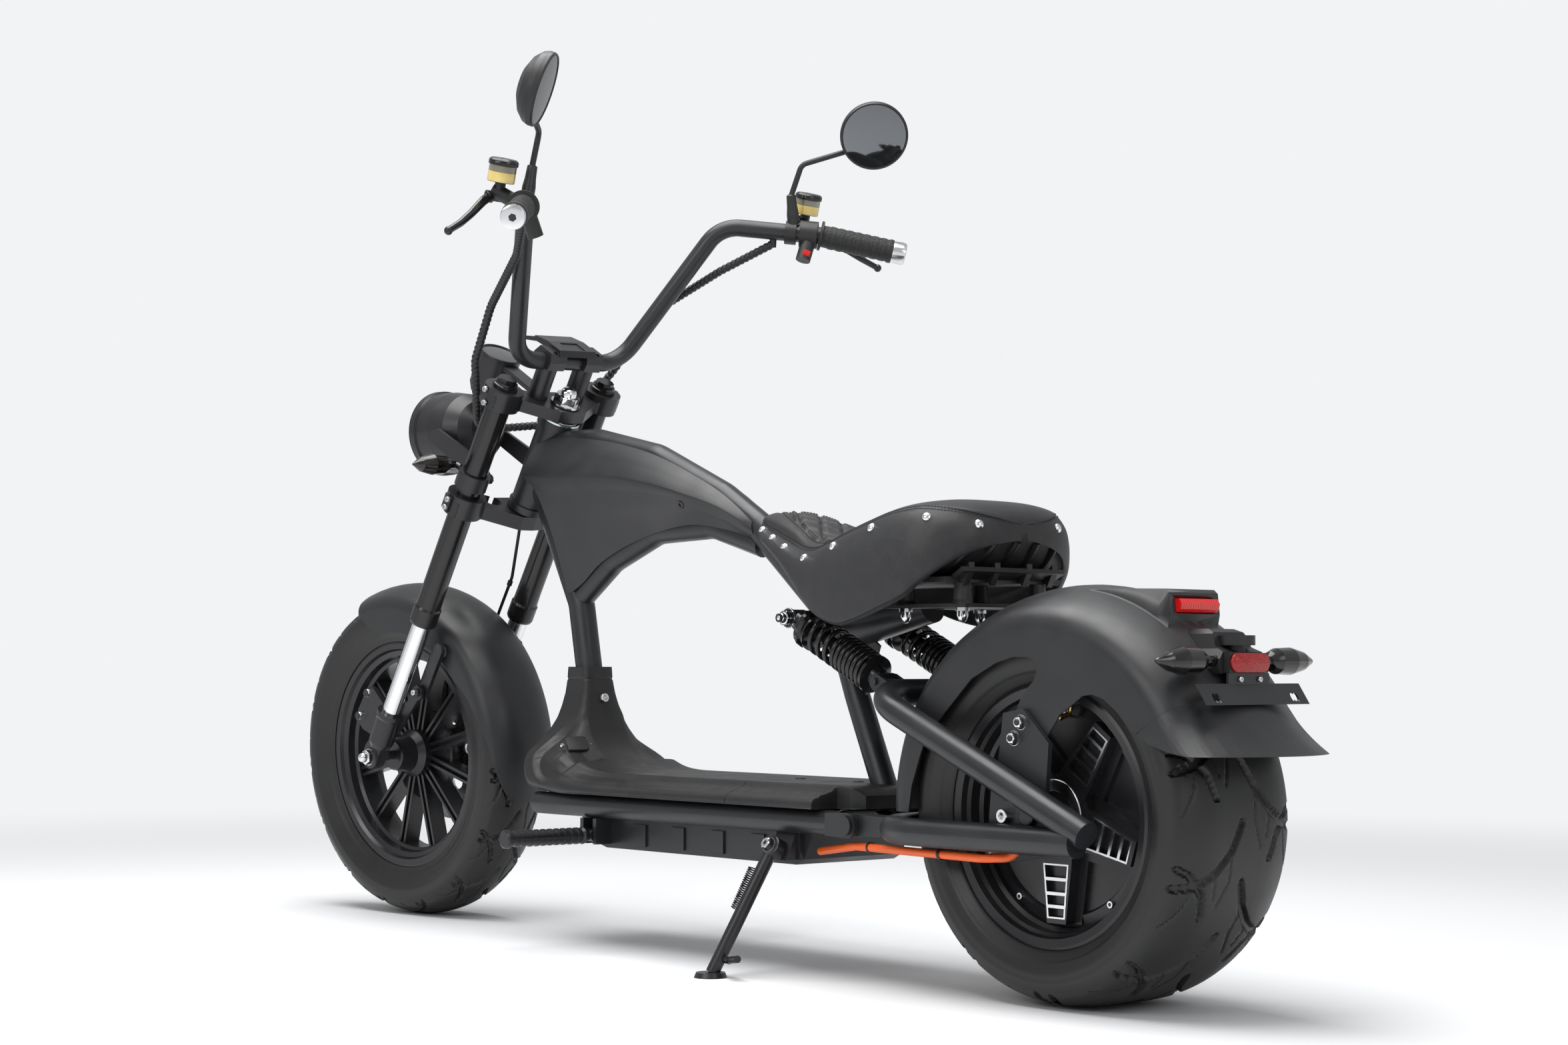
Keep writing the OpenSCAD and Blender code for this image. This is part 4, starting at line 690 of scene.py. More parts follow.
def seat_skin(u, v):
    """The plain seat, at u along it and v round it."""
    return round_flow(seat_rings(u), v)


def ridge_line(low, high, count):
    """Places along the seat's ridge, as u and x."""
    grid = np.linspace(low, high, count)
    return grid, seat_skin(grid, np.full(count, 0.5))[:, 0]


def seat_width(x):
    """Half width of the seat."""
    table = np.array(SEAT[2:-1], float)
    return np.interp(x, table[:, 0], table[:, 1])


# Quilt: its middle, its reach along the seat and share of the width, its border's shape and its cushions
QUILT_MIDDLE, QUILT_REACH, QUILT_WIDE, QUILT_POWER, QUILT_SIZE = 425, 165, 0.60, 2.6, 30
SEAM_TURNS = (8.35 / RING, 13.65 / RING)


def quilt_edge(x, y):
    """1 on the quilt's border, less inside it."""
    along = np.abs((x - QUILT_MIDDLE) / QUILT_REACH) ** QUILT_POWER
    return (along + np.abs(y / (QUILT_WIDE * seat_width(x))) ** QUILT_POWER) ** (1 / QUILT_POWER)


def seat_relief(x, y, facing_up):
    """Height of the cushions inside the quilt, with two sewn grooves round it."""
    inner = quilt_edge(x, y)
    a, b = (x + 1.25 * y) / QUILT_SIZE / 1.6, (x - 1.25 * y) / QUILT_SIZE / 1.6
    seam_gap = np.minimum(np.abs(a - np.round(a)), np.abs(b - np.round(b))) * QUILT_SIZE
    cushions = 3.0 - 5.2 * dent(seam_gap, 2.6)
    inside = np.clip((1 - inner) * 14, 0, 1)
    relief = inside * cushions - 2.2 * dent((inner - 1) * 60, 2.2) - 1.1 * dent((inner - 1.10) * 60, 1.6)
    return relief * facing_up


def seat_spot(u, v, lift=0.0):
    """A point on the finished seat, raised by lift, and its outward direction."""
    u, v = np.atleast_1d(u).astype(float), np.atleast_1d(v).astype(float)
    here = seat_skin(u, v)
    out = -outward(seat_skin, u, v)
    relief = seat_relief(here[:, 0], here[:, 1], np.clip(out[:, 2] * 2 - 0.6, 0, 1))
    seam = sum(dent((v - s) * RING, 0.10) for s in SEAM_TURNS)
    return here + out * (relief - 1.3 * seam + lift)[:, None], out


saddle_skin = capped(sheet(240, 264, lambda u, v: seat_spot(u, v)[0]))
seat = piece("saddle", saddle_skin, "chassis", leather, angle=60, hides=["seat_pad"])


def stitch_line(us, vs, length=3.2, every=4.6):
    """Short sewn dashes along a line over the seat."""
    spots, outs = seat_spot(np.array(us), np.array(vs), 0.35)
    far = way_along(spots)
    dash = bmesh.new()
    bmesh.ops.create_cone(dash, cap_ends=True, segments=5, radius1=0.55, radius2=0.55, depth=length)
    places = []
    for d in np.arange(every / 2, far[-1], every):
        spot = [np.interp(d, far, spots[:, k]) for k in range(3)]
        ahead = [np.interp(d + 1, far, spots[:, k]) - np.interp(d - 1, far, spots[:, k]) for k in range(3)]
        places.append(towards(spot, ahead))
    return dash, places


def oval_line(size):
    """Places round the quilt's border, as u and v along the seat."""
    us, vs = [], []
    grid, tops = ridge_line(0.12, 0.97, 260)
    cross = np.linspace(0.36, 0.64, 140)
    for turn in np.linspace(0, math.tau, 160):
        c, s = math.cos(turn), math.sin(turn)
        x = QUILT_MIDDLE + QUILT_REACH * size * math.copysign(abs(c) ** (2 / QUILT_POWER), c)
        y = QUILT_WIDE * size * float(seat_width(x)) * math.copysign(abs(s) ** (2 / QUILT_POWER), s)
        u = float(np.interp(x, tops, grid))
        ys = seat_skin(np.full(140, u), cross)[:, 1]
        us.append(u)
        vs.append(float(np.interp(-y, -ys, cross)))
    return us, vs


line = np.linspace(0.03, 0.965, 260)
stitches = [stitch_line(line, np.full(260, s + o)) for s in SEAM_TURNS for o in (-0.008, 0.008)]
stitches += [stitch_line(*oval_line(size)) for size in (0.93, 1.06)]
piece("seat_stitches", stitches, "chassis", thread)

# Domed studs round the seat's side, a little below its seams
stud = lathe([(-1, 13), (0.4, 13), (1.6, 11.6), (3.0, 8), (3.8, 4), (4.0, 0)], 28)
STUD_PLACES, STUD_DROP = (602, 560, 516, 445, 358, 275, 182, 136), 18


def stud_spots():
    grid, tops = ridge_line(0.0, 0.97, 500)
    places = []
    for x in STUD_PLACES:
        u = float(np.interp(x, tops, grid))
        for seam, way in zip(SEAM_TURNS, (-1, 1)):
            vs = seam + way * np.linspace(0, 0.2, 160)
            line = seat_skin(np.full(160, u), vs)
            low_edge = seat_skin(np.array([u]), np.array([seam + way * 3.4 / RING]))[0]
            drop = min(STUD_DROP, 0.42 * float(np.linalg.norm(line[0] - low_edge)))
            spot, out = seat_spot(u, float(np.interp(drop, way_along(line), vs)))
            places.append(towards(spot[0], out[0]))
    return places


fixed("seat_studs", stud, stud_spots(), chrome)

# Side covers: the outer face runs smoothly through the source's columns
COVER = [
    (1186, 24, 788, 1182, 46, 760, 1175, 66, 728, 1149, 60, 703, 1130, 49, 657, 1119, 36, 603, 1110, 20, 534),
    (1122, 23, 786, 1118, 44, 758, 1114, 65, 721, 1100, 57, 690, 1088, 46, 645, 1078, 34, 600, 1072, 19, 553),
    (1050, 22, 779, 1050, 43, 753, 1048, 63, 720, 1042, 56, 692, 1036, 45, 656, 1030, 34, 622, 1025, 19, 583),
    (970, 22, 766, 970, 41, 743, 968, 60, 715, 965, 53, 692, 962, 44, 664, 960, 33, 640, 958, 19, 608),
    (884, 22, 744, 884, 38, 726, 882, 55, 702, 880, 49, 684, 878, 41, 664, 876, 31, 647, 875, 19, 627),
    (801, 22, 713, 800, 35, 700, 798, 49, 682, 797, 44, 671, 796, 37, 659, 796, 29, 648, 796, 19, 634),
    (720, 22, 676, 720, 31, 668, 719, 39, 658, 719, 35, 650, 718, 31, 642, 718, 25, 634, 718, 18, 624),
    (656, 21, 634, 655, 23, 629, 654, 24, 624, 653, 24, 620, 652, 23, 616, 652, 21, 612, 652, 17, 608)]


def cover_spot(u, v):
    """Outer face of the left cover at u along it and v down it, with the crease kept fairly tight."""
    columns = flow_at(COVER, u * (len(COVER) - 1)).reshape(-1, 7, 3)
    rows = v * 6
    low = np.clip(np.floor(rows).astype(int), 0, 5)
    f = (rows - low)[:, None]
    a, b, c, d = (columns[np.arange(len(u)), np.clip(low + k, 0, 6)] for k in (-1, 0, 1, 2))
    straight = b + (c - b) * f
    crease = dent(rows - 2, 0.9)[:, None] * 0.55
    return curved(a, b, c, d, f) * (1 - crease) + straight * crease


cover_bm = sheet(120, 84, cover_spot)
bmesh.ops.solidify(cover_bm, geom=cover_bm.faces, thickness=3.2)
bmesh.ops.recalc_face_normals(cover_bm, faces=cover_bm.faces)
fixed("covers_skin", cover_bm, BOTH_SIDES, satin, angle=50, hides=["side_covers"])


# Tyres: a spun section with directional grooves pressed into the tread
def tyre_section(half):
    """Even points round a tyre's section from its left bead to its right one, radius first."""
    full = np.array([(r, -y) for r, y in half[::-1]] + half[1:], float)
    fine = flow_at(full, np.linspace(0, len(full) - 1, 900))
    far = way_along(fine)
    return fine, far / far[-1]


def groove_depth(s, y, pitch, lines):
    """Depth of the grooves at s round the tread and y across it, from lines with a width and a depth."""
    depth = np.zeros_like(s)
    s = np.where(y < 0, s + pitch / 2, s) % pitch
    y = np.abs(y)
    for width, deep, points in lines:
        gap = np.full_like(s, 1e9)
        for turn in (-1, 0, 1):
            for (s0, y0), (s1, y1) in zip(points, points[1:]):
                a, b = np.array([s0 + turn * pitch, y0]), np.array([s1 + turn * pitch, y1])
                t = np.clip(((s - a[0]) * (b - a)[0] + (y - a[1]) * (b - a)[1]) / ((b - a) @ (b - a)), 0, 1)
                gap = np.minimum(gap, np.hypot(s - a[0] - t * (b - a)[0], y - a[1] - t * (b - a)[1]))
        depth = np.maximum(depth, deep * np.clip((width / 2 + 0.9 - gap) / 1.8, 0, 1))
    return depth


def tyre(name, body, space, half, rounds, across, pitch, tread, lines, ribs):
    """Tyre from its half section, with grooves in its tread and ribs on its side walls."""
    fine, far = tyre_section(half)
    radius = max(r for r, y in half)
    span = max(y for r, y in half)

    def shape(u, v):
        v = 0.5 + np.sign(v - 0.5) * np.abs(2 * v - 1) ** 1.15 / 2
        r, y = (np.interp(v, far, fine[:, k]) for k in (0, 1))
        normal = np.gradient(fine, axis=0)
        out = np.stack([-normal[:, 1], normal[:, 0]], axis=1)
        out /= np.linalg.norm(out, axis=1)[:, None]
        out *= -1 if out[len(out) // 2, 0] < 0 else 1
        nr, ny = (np.interp(v, far, out[:, k]) for k in (0, 1))
        sink = groove_depth(u * math.tau * radius, y, pitch, lines) * np.clip((r - radius + tread) / 5, 0, 1)
        side = (r < radius - 18) & (np.abs(y) > span * 0.7)
        for at, wide, high in ribs:
            sink = sink - np.where(side, high * dent(r - at, wide), 0)
        r, y = r - nr * sink, y - ny * sink
        turn = u * math.tau
        return np.stack([r * np.cos(turn), y, r * np.sin(turn)], axis=1)
    piece(name + "_skin", sheet(rounds, across, shape), body, rubber, space, 30, [name])


SHOULDER = 120
rear_half = [(REAR_R, 0), (REAR_R, 15), (REAR_R, 30)] + [
    (REAR_R - SHOULDER + SHOULDER * math.cos(math.radians(a)), REAR_BAND + SHOULDER * math.sin(math.radians(a)))
    for a in (0, 7, 14, 21, 27)] + [
    (219, 103.5), (211, 106.8), (202, 107.3), (188, 105.3), (172, 97), (166.4, 93.6), (166.1, 90)]
# Each line of grooves: width, depth, and its points round the tread and across it
REAR_LINES = [
    (10, 5.5, [(0, 5), (34, 22), (60, 46), (78, 74), (84, 99)]),
    (8.0, 5.0, [(58, 99), (64, 84), (90, 60), (120, 50)]),
    (2.4, 2.2, [(36, 22), (70, 18), (104, 30)]),
    (2.2, 2.0, [(78, 74), (110, 82), (140, 99)]),
    (2.0, 2.0, [(60, 46), (92, 40)])]
tyre("rear_tyre", "rear_wheel", REAR, rear_half, 600, 140, math.tau * REAR_R / 10, 30, REAR_LINES,
     [(207, 1.4, 0.8), (196, 1.0, 0.6), (182, 2.6, 0.9), (174, 1.0, 0.7)])
front_half = [
    (FRONT_R - FRONT_CROWN + FRONT_CROWN * math.cos(math.radians(a)), FRONT_CROWN * math.sin(math.radians(a)))
    for a in (0, 6, 12, 18, 24, 30, 35.3)] + [
    (249, 57), (243, 59.3), (235, 59.8), (224, 58.3), (210, 52.7), (198, 46.8), (192.4, 45.6), (192, 42)]
FRONT_LINES = [
    (7.5, 5.0, [(0, 4), (26, 16), (46, 32), (60, 52)]),
    (6.5, 4.5, [(42, 54), (56, 42), (84, 30), (100, 27)]),
    (2.2, 2.0, [(26, 16), (58, 11), (88, 16)]),
    (2.0, 2.0, [(60, 40), (88, 46), (104, 55)])]
tyre("front_tyre", "front_wheel", FRONT, front_half, 560, 112, math.tau * FRONT_R / 15, 26, FRONT_LINES,
     [(229, 1.2, 0.7), (218, 1.0, 0.5), (206, 2.4, 0.8)])

# Shocks: coil springs with wide turns at the top and tight ones below, and notched collars
SHOCK_TOP, SHOCK_LOW = Vector((484, 85, 490)), Vector((303, 85, 403))
shock_way = (SHOCK_LOW - SHOCK_TOP).normalized()
SPRING_FROM, SPRING_TO = 50, (SHOCK_LOW - SHOCK_TOP).length - 26
WIRE, COIL, SPRING_TURNS = 7.6, 46, (3.5, 6.5)


def on_shocks(down):
    """Places on both shocks' axes, below their tops."""
    return sides_of(towards(SHOCK_TOP + shock_way * down, shock_way))


def coil_skin():
    reach = (SPRING_TO - SPRING_FROM - WIRE) / 2
    bm = bmesh.new()
    ring = bmesh.ops.create_circle(bm, segments=10, radius=WIRE / 2,
                                   matrix=moved(COIL / 2, 0, WIRE / 2) @ turning("X", 90))["verts"]
    geom = list(ring) + list({e for v in ring for e in v.link_edges})
    for turns in SPRING_TURNS:
        steps = int(turns * 30)
        geom = bmesh.ops.spin(bm, geom=geom, cent=(0, 0, 0), axis=(0, 0, 1), angle=turns * math.tau,
                              steps=steps, dvec=(0, 0, reach / steps))["geom_last"]
    return capped(bm, 0.005)


fixed("coil_springs", coil_skin(), on_shocks(SPRING_FROM), gloss, angle=50, hides=["shock_springs"])
collar = lathe([(0, 55), (1, 57), (7, 57), (8, 55)], 60)
for vert in collar.verts:
    notch = int((math.atan2(vert.co.y, vert.co.x) + math.pi) / math.tau * 60) % 6 < 2
    if notch and math.hypot(vert.co.x, vert.co.y) > 28:
        vert.co.xy *= 0.94
fixed("preload_collars", collar, on_shocks(31), gloss)

# Wound looms, their turns showing as ridges
loom = rounded([(-56, 262, LEG_TOP + 312), (-14, 214, LEG_TOP + 240), (58, 166, LEG_TOP + 120),
                (70, 150, LEG_TOP + 20), (74, 100, LEG_TOP - 90), (148, 14, LEG_TOP - 142)], 60, 10)
loom_skin = hose(loom, 6, 14, 1.1,
                 lambda far, turn: 5.2 + 1.7 * np.abs(np.sin(math.pi * far / 8.5 - turn / 2)) ** 0.6)
loom_clip = hose([(-59, 263, LEG_TOP + 308), (-53, 263, LEG_TOP + 321)], 5.6, 16, 2)
piece("loom_wraps", [(loom_skin, BOTH_SIDES), (loom_clip, BOTH_SIDES)], "steering", nylon, STEER, 60,
      ["control_looms"])

# Fasteners
nut = lathe([(0, 20), (0.6, 21.5, 6), (7.4, 21.5, 6), (8, 19.5), (8.6, 15), (12, 14.2), (15.5, 11), (18, 6),
             (18.8, 0)])
washer = lathe([(0, 27.6), (0.4, 28.2), (2.6, 28.2), (3, 27.6), (3, 12)])
socket = lathe([(0, 9.6), (3.4, 9.6), (4.2, 8.6), (4.2, 5.4, 6), (1.6, 5.2, 6), (1.4, 0)])
hex_head = lathe([(0, 19), (1.4, 19), (1.6, 14.6, 6), (7.6, 14.6, 6), (8.4, 12), (8.4, 6), (7.2, 5), (7.2, 0)])
axle_screw = lathe([(0, 18), (8.6, 18), (9.6, 16.4), (9.6, 10, 6), (5, 9.8, 6), (5, 0)])
under_nut = lathe([(0, 19), (4.6, 19), (4.8, 15, 6), (11.4, 15, 6), (12, 13.6), (16, 10.6), (19, 6), (19.8, 0)])
ear = lathe([(0, 14.8), (5.6, 14.8), (6.6, 13.4), (6.6, 8, 6), (3, 7.8, 6), (3, 0)])
piece("shock_nuts", [(washer, sides_of(on(SHOCK_TOP.x, 97.2, SHOCK_TOP.z))),
                     (nut, sides_of(on(SHOCK_TOP.x, 100.2, SHOCK_TOP.z)))], "chassis", chrome)
fixed("fender_nuts", hex_head, sides_of(on(10, 127, 355), on(22, 127, 335)), chrome)
fixed("arm_screws", axle_screw, sides_of(on(40, 123.4, 238)), chrome)
fixed("seat_nuts", under_nut, [towards((x, y, 500.6), (0, 0, -1)) for x in (171, 278) for y in (-70, 70)],
      chrome)
steered("clamp_screws", socket, sides_of(
    *(on(LEG_X + x * 0.4, LEG_Y + 33.4, HIGH_PLATE + 16 + x) for x in (-10, 10)),
    *(on(LEG_X, LEG_Y + 35.6, LOW_PLATE + z) for z in (10, 24))), bright)
piece("fork_screws", [(ear, sides_of(on(106, LEG_Y - 2.6, 84), on(107, LEG_Y - 2.6, 38))),
                      (socket, sides_of(on(0, LEG_Y - 2.4, 152)))], "steering", bright, STEER)
steered("front_axle_nuts",
        lathe([(0, 27), (0.6, 28), (3, 28), (3.2, 25.6, 6), (9.4, 25.6, 6), (10, 22), (11, 17), (16, 16.4),
               (20, 12), (21.6, 5), (21.8, 0)]), sides_of(on(FORK_OFFSET, LEG_Y + 9, 0)), bright)
steered("stem_nut",
        lathe([(0, 48), (2, 48), (2.2, 42, 6), (14, 42, 6), (15.4, 37), (16, 27), (22, 26), (26, 20), (28, 10),
               (28.2, 0)]), moved(0, 0, HIGH_PLATE + 24), chrome)
steered("head_race", lathe([(0.4, 66), (1, 67), (4, 67), (4.4, 60, 12), (5.4, 60, 12)]),
        moved(0, 0, HIGH_PLATE - 5), zinc)
BAR_ROOT, BAR_TIP = Vector((-102, 311, LEG_TOP + 353)), Vector((-179, 389, LEG_TOP + 369))
grip_way = (BAR_TIP - BAR_ROOT).normalized()
steered("bar_ends",
        lathe([(11.6, 33), (12, 34.8), (26, 36.8), (32, 34.8), (33.4, 29), (33.4, 12, 6), (27, 11.6, 6),
               (27, 0)]), sides_of(towards(BAR_TIP - grip_way * 2, grip_way)), bright)
STAND_TILT = math.radians(27)
stand_pivot = towards((482, 126, 174), (0, math.cos(STAND_TILT), math.sin(STAND_TILT)))
piece("stand_bolt", [(hex_head, scaled(stand_pivot, 1.15) @ moved(0, 0, 8))], "side_stand", bright)
fixed("deck_screws", socket, scaled(towards((1042.4, 0, 372), (-1, 0, 0.14)), 1.5), bright)

# Rear wheel: bright edges of the ladders' windows, hub ring, cover screws and valve
WINDOWS = [((62, 19), (77, 17.4)), ((81, 17), (95, 15.6)), ((99, 15.2), (111, 14)), ((115, 13.6), (126, 12.6))]
EDGE_X, EDGE_Y, COVER_FACE, VALVE_TURN = 2.0, 2.4, 76, -98


def window_edge(low, high):
    """Thin polished band round one window, standing just over the cover."""
    (x0, y0), (x1, y1) = low, high
    inner = [(x0, -y0), (x1, -y1), (x1, y1), (x0, y0)]
    outer = [(x + math.copysign(EDGE_X, x - (x0 + x1) / 2), y + math.copysign(EDGE_Y, y)) for x, y in inner]
    bm = bmesh.new()
    rings = [[bm.verts.new((x, y, z)) for x, y in ring]
             for z, ring in ((0, outer), (0.7, outer), (0.7, inner), (-6, inner))]
    for pair in zip(rings, rings[1:]):
        sides = [side for ring in pair for side in zip(ring, ring[1:] + ring[:1])]
        bmesh.ops.bridge_loops(bm, edges=[bm.edges.get(side) or bm.edges.new(side) for side in sides])
    return close(bm, 0.001)


arm_places = [turning("Y", 90 - 72 * k) @ turning("X", -90) @ moved(0, 0, COVER_FACE) for k in range(5)]
piece("window_edges", [(window_edge(*w), arm_places) for w in WINDOWS], "rear_wheel", bright, REAR, 20)
hub_ring = lathe([(77.2, 62), (80.4, 62), (81.0, 63), (81.0, 89), (80.4, 91), (79.2, 92)], 96)
piece("hub_ring", [(hub_ring, turning("X", -90))], "rear_wheel", bright, REAR)
piece("cover_screws", [(socket, [turning("Y", -(k * 36 + 18)) @ on(131, 58.6, 0) for k in range(10)])],
      "rear_wheel", bright, REAR)
valve = hose(rounded([(148, 70, 0), (127, 70, 0), (124, 88, 0)], 7, 6), 3.6, 14, 1.2)
cap = lathe([(0, 8.4), (6, 8.4), (7, 6.6), (7.4, 0)], 24)
piece("valve", [(valve, turning("Y", VALVE_TURN)), (cap, turning("Y", VALVE_TURN) @ on(124.1, 84, 0))],
      "rear_wheel", brass, REAR)

# Mirrors, gauge, headlamp, fluid cups and stop button
MIRROR_TURN = math.radians(38)
mirror_way = Vector((-math.cos(MIRROR_TURN), -math.sin(MIRROR_TURN), 0.06)).normalized()
mirrors = sides_of(towards((-98.9, 349.1, LEG_TOP + 532), mirror_way))
GAUGE = moved(183, 0, LEG_TOP - 97)
LAMP = moved(210, 0, LEG_TOP - 182) @ turning("Y", RAKE) @ turning("Y", 90)
bar_way = (BAR_ROOT - Vector((12, 205, LEG_TOP + 308))).normalized()
cups = sides_of(towards(BAR_ROOT - bar_way * 26 + Vector((34, 26, 14)), (0.25, 0, 0.97)))
for name, rows, steps, places, material in (
        ("mirror_glass", [(5.6, 101.5), (6.3, 101.5), (6.9, 80), (7.3, 50), (7.5, 20), (7.55, 0)], 96, mirrors,
         mirror_glass),
        ("mirror_rims", [(4.6, 109.4), (6.2, 108.6), (7.4, 106.6), (7.4, 103.4), (6.4, 102.2), (5.8, 102)], 96,
         mirrors, nylon),
        ("gauge_glass", [(74.6, 63.6), (75.4, 63), (76.6, 40), (77.0, 0)], 72, GAUGE, gauge_glass),
        ("gauge_rim", [(70, 70.4), (75.6, 70.4), (77.4, 68.6), (77.6, 65), (76, 63.2), (75, 63.2)], 72, GAUGE,
         half_gloss),
        ("lamp_lens", [(54.2, 132), (55.4, 131), (60, 110), (64, 70), (65.6, 30), (65.9, 0)], 96, LAMP,
         clear_lens),
        ("lamp_rim", [(53.6, 142.6), (55.4, 141), (57, 137), (56.8, 133), (55.2, 131.6)], 96, LAMP, half_gloss),
        ("fluid_cups", [(7.6, 40), (8, 40.8), (22, 40.8), (22.2, 40)], 64, cups, fluid),
        ("cup_tops", [(22.3, 40), (22.4, 40.8), (31.4, 40.8), (31.8, 40)], 64, cups, cup_clear),
        ("cup_lids", [(31.9, 43.2), (32.2, 44), (37.6, 44), (39.4, 42), (41.3, 37), (41.4, 12), (40.8, 11),
                      (40.8, 0)], 64, cups, gloss)):
    steered(name, lathe(rows, steps), places, material)
button = prism([(-6, -4.5), (6, -4.5), (6, 4.5), (-6, 4.5)], 0, 3.4, 0.9)
pod = BAR_ROOT - bar_way * 16 + Vector((-17, -14, -24))
steered("stop_button", button, MIRROR_Y @ towards(pod + Vector((-9.2, -7.2, 3)), (-0.78, -0.6, 0.1)),
        button_red)


def long_disc(half, radius, steps=10):
    """Outline of a bar with round ends."""
    return [(side * (half - radius) + radius * math.cos(a), radius * math.sin(a))
            for side, start in ((1, -90), (-1, 90))
            for a in [math.radians(start + 180 * k / steps) for k in range(steps + 1)]]


fixed("reflector", prism(long_disc(35.6, 11.6), 0, 3.2, 0.9, 3), towards((-246, 0, 191), (-1, 0, 0)),
      reflector_red, REAR)
tie = lathe([(-2.2, 12.6), (-2.2, 14), (2.2, 14), (2.2, 12.6), (-2.2, 12.6)], 24)
fixed("cable_ties", tie, [towards((x, y, 184), (-1, 0.1, 0)) for x, y in ((300, 113.8), (150, 130))], nylon)

# Charge port flap, on the point of the deck's left dish that is nearest to its place
FLAP_SPOT = (1026, 300)
flap = prism([(-17, -15), (13, -15), (18, -9), (18, 15), (-12, 15), (-17, 9)], 0, 5, 1.2, 3)
grid = [(u, v) for u in np.linspace(0.55, 0.85, 60) for v in np.linspace(0.05, 0.4, 80)]
spots, outs = deck_spot(*np.array(grid).T)
gaps = np.hypot(spots[:, 0] - FLAP_SPOT[0], spots[:, 2] - FLAP_SPOT[1]) + (spots[:, 1] < 0) * 999
flap_place = towards(spots[gaps.argmin()], outs[gaps.argmin()])
fixed("port_flap", flap, flap_place, nylon)
fixed("port_screws", socket, [scaled(flap_place @ moved(x, y, 0.5), 0.7) for x, y in ((-24, -2), (25, 2))],
      bright)


def weld_bead(radius, scales=46, thick=3.2):
    """Ring of small overlapping scales: a closed hose whose thickness ripples."""
    def shape(u, v):
        turn, ripple = u * math.tau, 1 + 0.22 * np.sin(u * math.tau * scales)
        r = radius + thick * 0.5 * ripple * np.cos(v * math.tau)
        return np.stack([r * np.cos(turn), r * np.sin(turn), thick * 0.5 * np.sin(v * math.tau)], axis=1)
    return sheet(scales * 4, 8, shape)


# Weld beads at the ends of the frame rails
fixed("weld_beads", weld_bead(17.4), [towards((362, y, 212), (1, 0, 0)) for y in (106, -106)], powder)

# Side stand: small coil spring beside the leg
LEG_HIGH, LEG_LOW = Vector((484, 129.4, 170)), Vector((522, 202, 6))
leg_way = (LEG_LOW - LEG_HIGH).normalized()


def little_spring(start, end, wire_thick, across, turns, steps=16):
    way = end - start
    side = way.orthogonal().normalized()
    other = way.normalized().cross(side)
    spots = []
    for k in range(turns * steps + 1):
        a = k / steps * math.tau
        out = side * math.cos(a) + other * math.sin(a)
        spots.append(start + way * (k / steps / turns) + out * across / 2)
    return hose(spots, wire_thick / 2, 6, 1.6)


stand_spring = little_spring(LEG_HIGH + leg_way * 26 + Vector((16, 6, 0)),
                             LEG_HIGH + leg_way * 88 + Vector((12, 6, 0)), 1.8, 9.5, 20)
piece("stand_spring", stand_spring, "side_stand", gloss)

# Plugs in the deck's screw holes and in the side covers, and the bolt heads of the plate bracket
plug = lathe([(0, 16), (1.0, 16), (1.8, 14), (2.0, 5, 6), (1.0, 4.8, 6), (1.0, 0)], 32)
fixed("deck_plugs", plug, [moved(x, 0, 261.6) for x in (571, 448)], nylon)
cover_plug = lathe([(-2, 13), (0.6, 13), (1.4, 11), (1.6, 6), (0.2, 5), (0.2, 0)], 32)
spot, ahead, down = cover_spot(np.array([0.71, 0.73, 0.71]), np.array([0.60, 0.60, 0.62]))
out = Vector(np.cross(ahead - spot, down - spot))
fixed("cover_plugs", cover_plug, sides_of(towards(spot, out if out.y > 0 else -out)), gloss)
fixed("unit_bolts", socket, [scaled(towards((-246.4, y, 171), (-1, 0, 0)), 0.72) for y in (-18, 18)], bright,
      REAR)

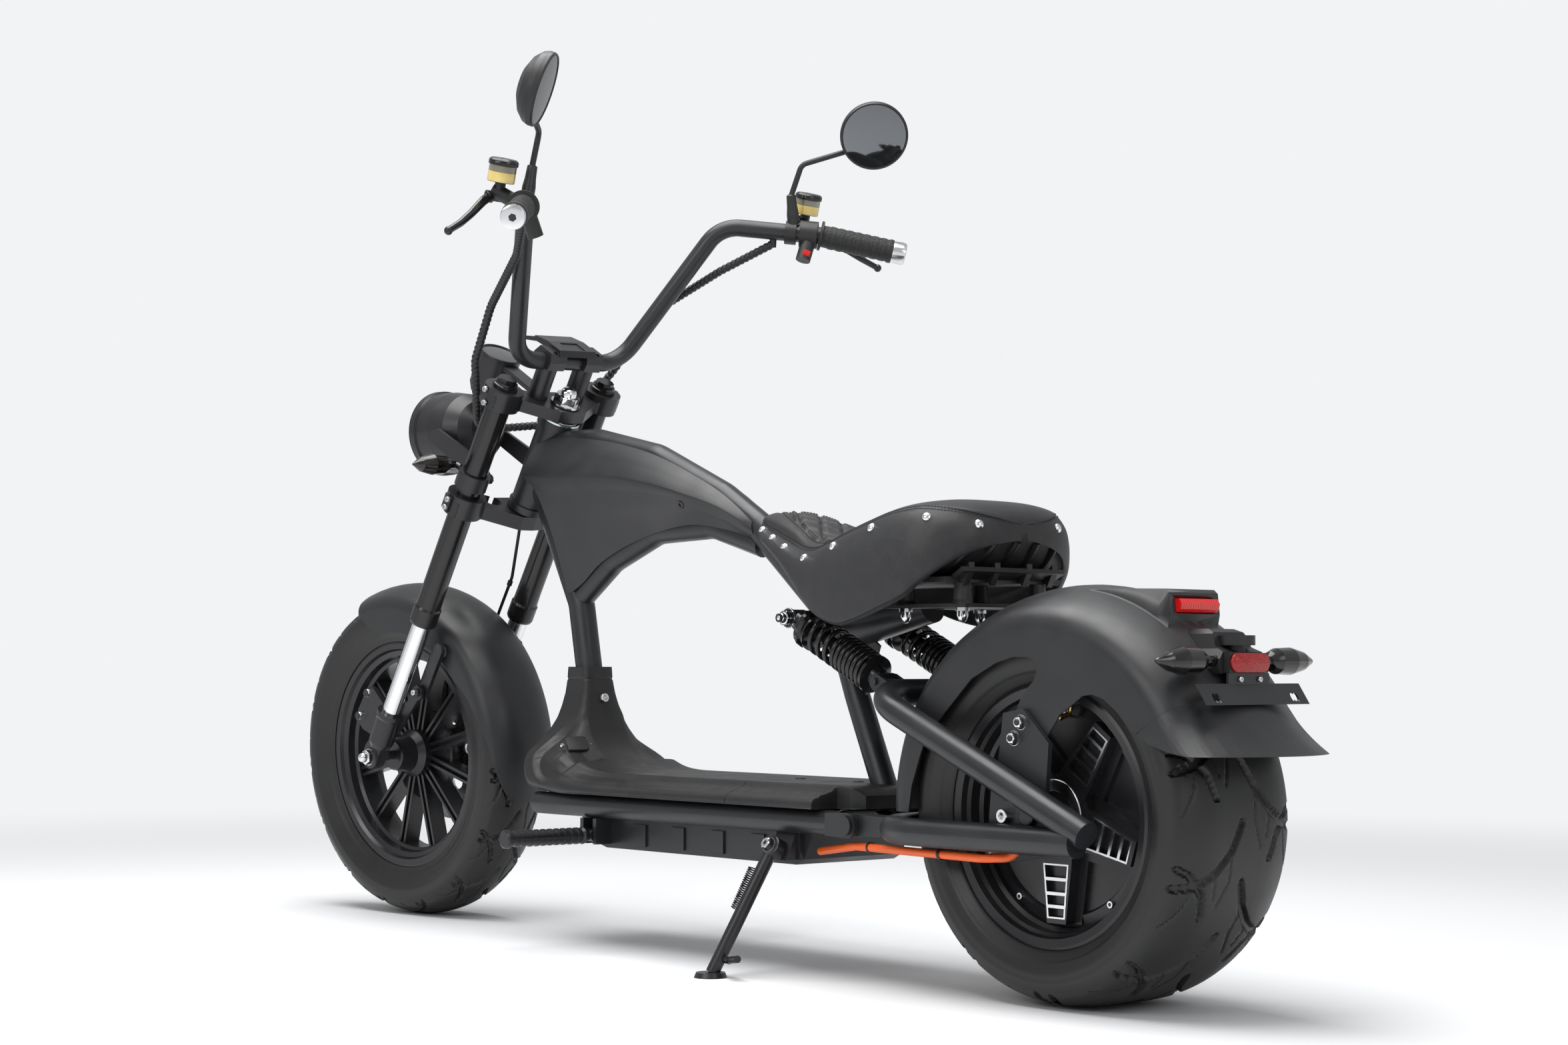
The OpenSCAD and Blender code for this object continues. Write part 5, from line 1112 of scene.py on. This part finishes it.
# Brake levers: flat blades with a ball end, on perches
lever_path = rounded([(-42, 326, LEG_TOP + 341), (-62, 352, LEG_TOP + 340), (-92, 392, LEG_TOP + 330),
                      (-110, 420, LEG_TOP + 322), (-124, 448, LEG_TOP + 315)], 50, 8)


def blade(far, turn):
    """Oval section, wide and thin, that narrows towards the tip."""
    wide, thin = 7.4 - 2.2 * np.clip(far / 140, 0, 1), 4.2
    return wide * thin / np.sqrt((thin * np.cos(turn)) ** 2 + (wide * np.sin(turn)) ** 2)


lever_ball = lathe([(-6.4, 0), (-6, 5), (-4, 10.4), (0, 13), (4, 10.4), (6, 5), (6.4, 0)], 24)
pivot_cap = lathe([(-7, 0), (-7, 15), (-6, 16), (6, 16), (7, 15), (7, 7), (6, 6), (6, 0)], 28)
piece("lever_blades", [(hose(lever_path, 5, 20, 2, blade), BOTH_SIDES),
                       (lever_ball, sides_of(moved(-124.6, 449, LEG_TOP + 314.6))),
                       (pivot_cap, sides_of(moved(-44, 329, LEG_TOP + 341)))],
      "steering", gloss, STEER, 50, ["brake_levers"])
perch = hose([(-42, 326, LEG_TOP + 341), (-66, 300, LEG_TOP + 348)], 7, 14, 2)
steered("lever_perches", perch, BOTH_SIDES, nylon)

# Front brake hose down the right leg, and its clip
brake_line = rounded([(50, -40, LEG_TOP - 236), (70, -66, LEG_TOP - 290), (66, -84, 330), (72, -88, 200),
                      (100, -84, 96)], 40, 8)
steered("brake_hose", hose(brake_line, 5.4 / 2, 10, 4), BIKE, rubber)
hose_clip = lathe([(-4, 6), (-4, 9), (4, 9), (4, 6), (-4, 6)], 20)
steered("hose_clip", hose_clip, towards((66.6, -84.4, 318), (0, 0, 1)), nylon)


def pan_rib(y):
    """Rib under the seat's tail."""
    return hose(rounded([(318, y, 539), (230, y, 541), (176, y * 0.97, 556), (148, y * 0.92, 578),
                         (139, y * 0.86, 588)], 80, 8), 5.5, 10, 4)


piece("pan_ribs", [pan_rib(y) for y in (-84, -42, 0, 42, 84)], "chassis", nylon)
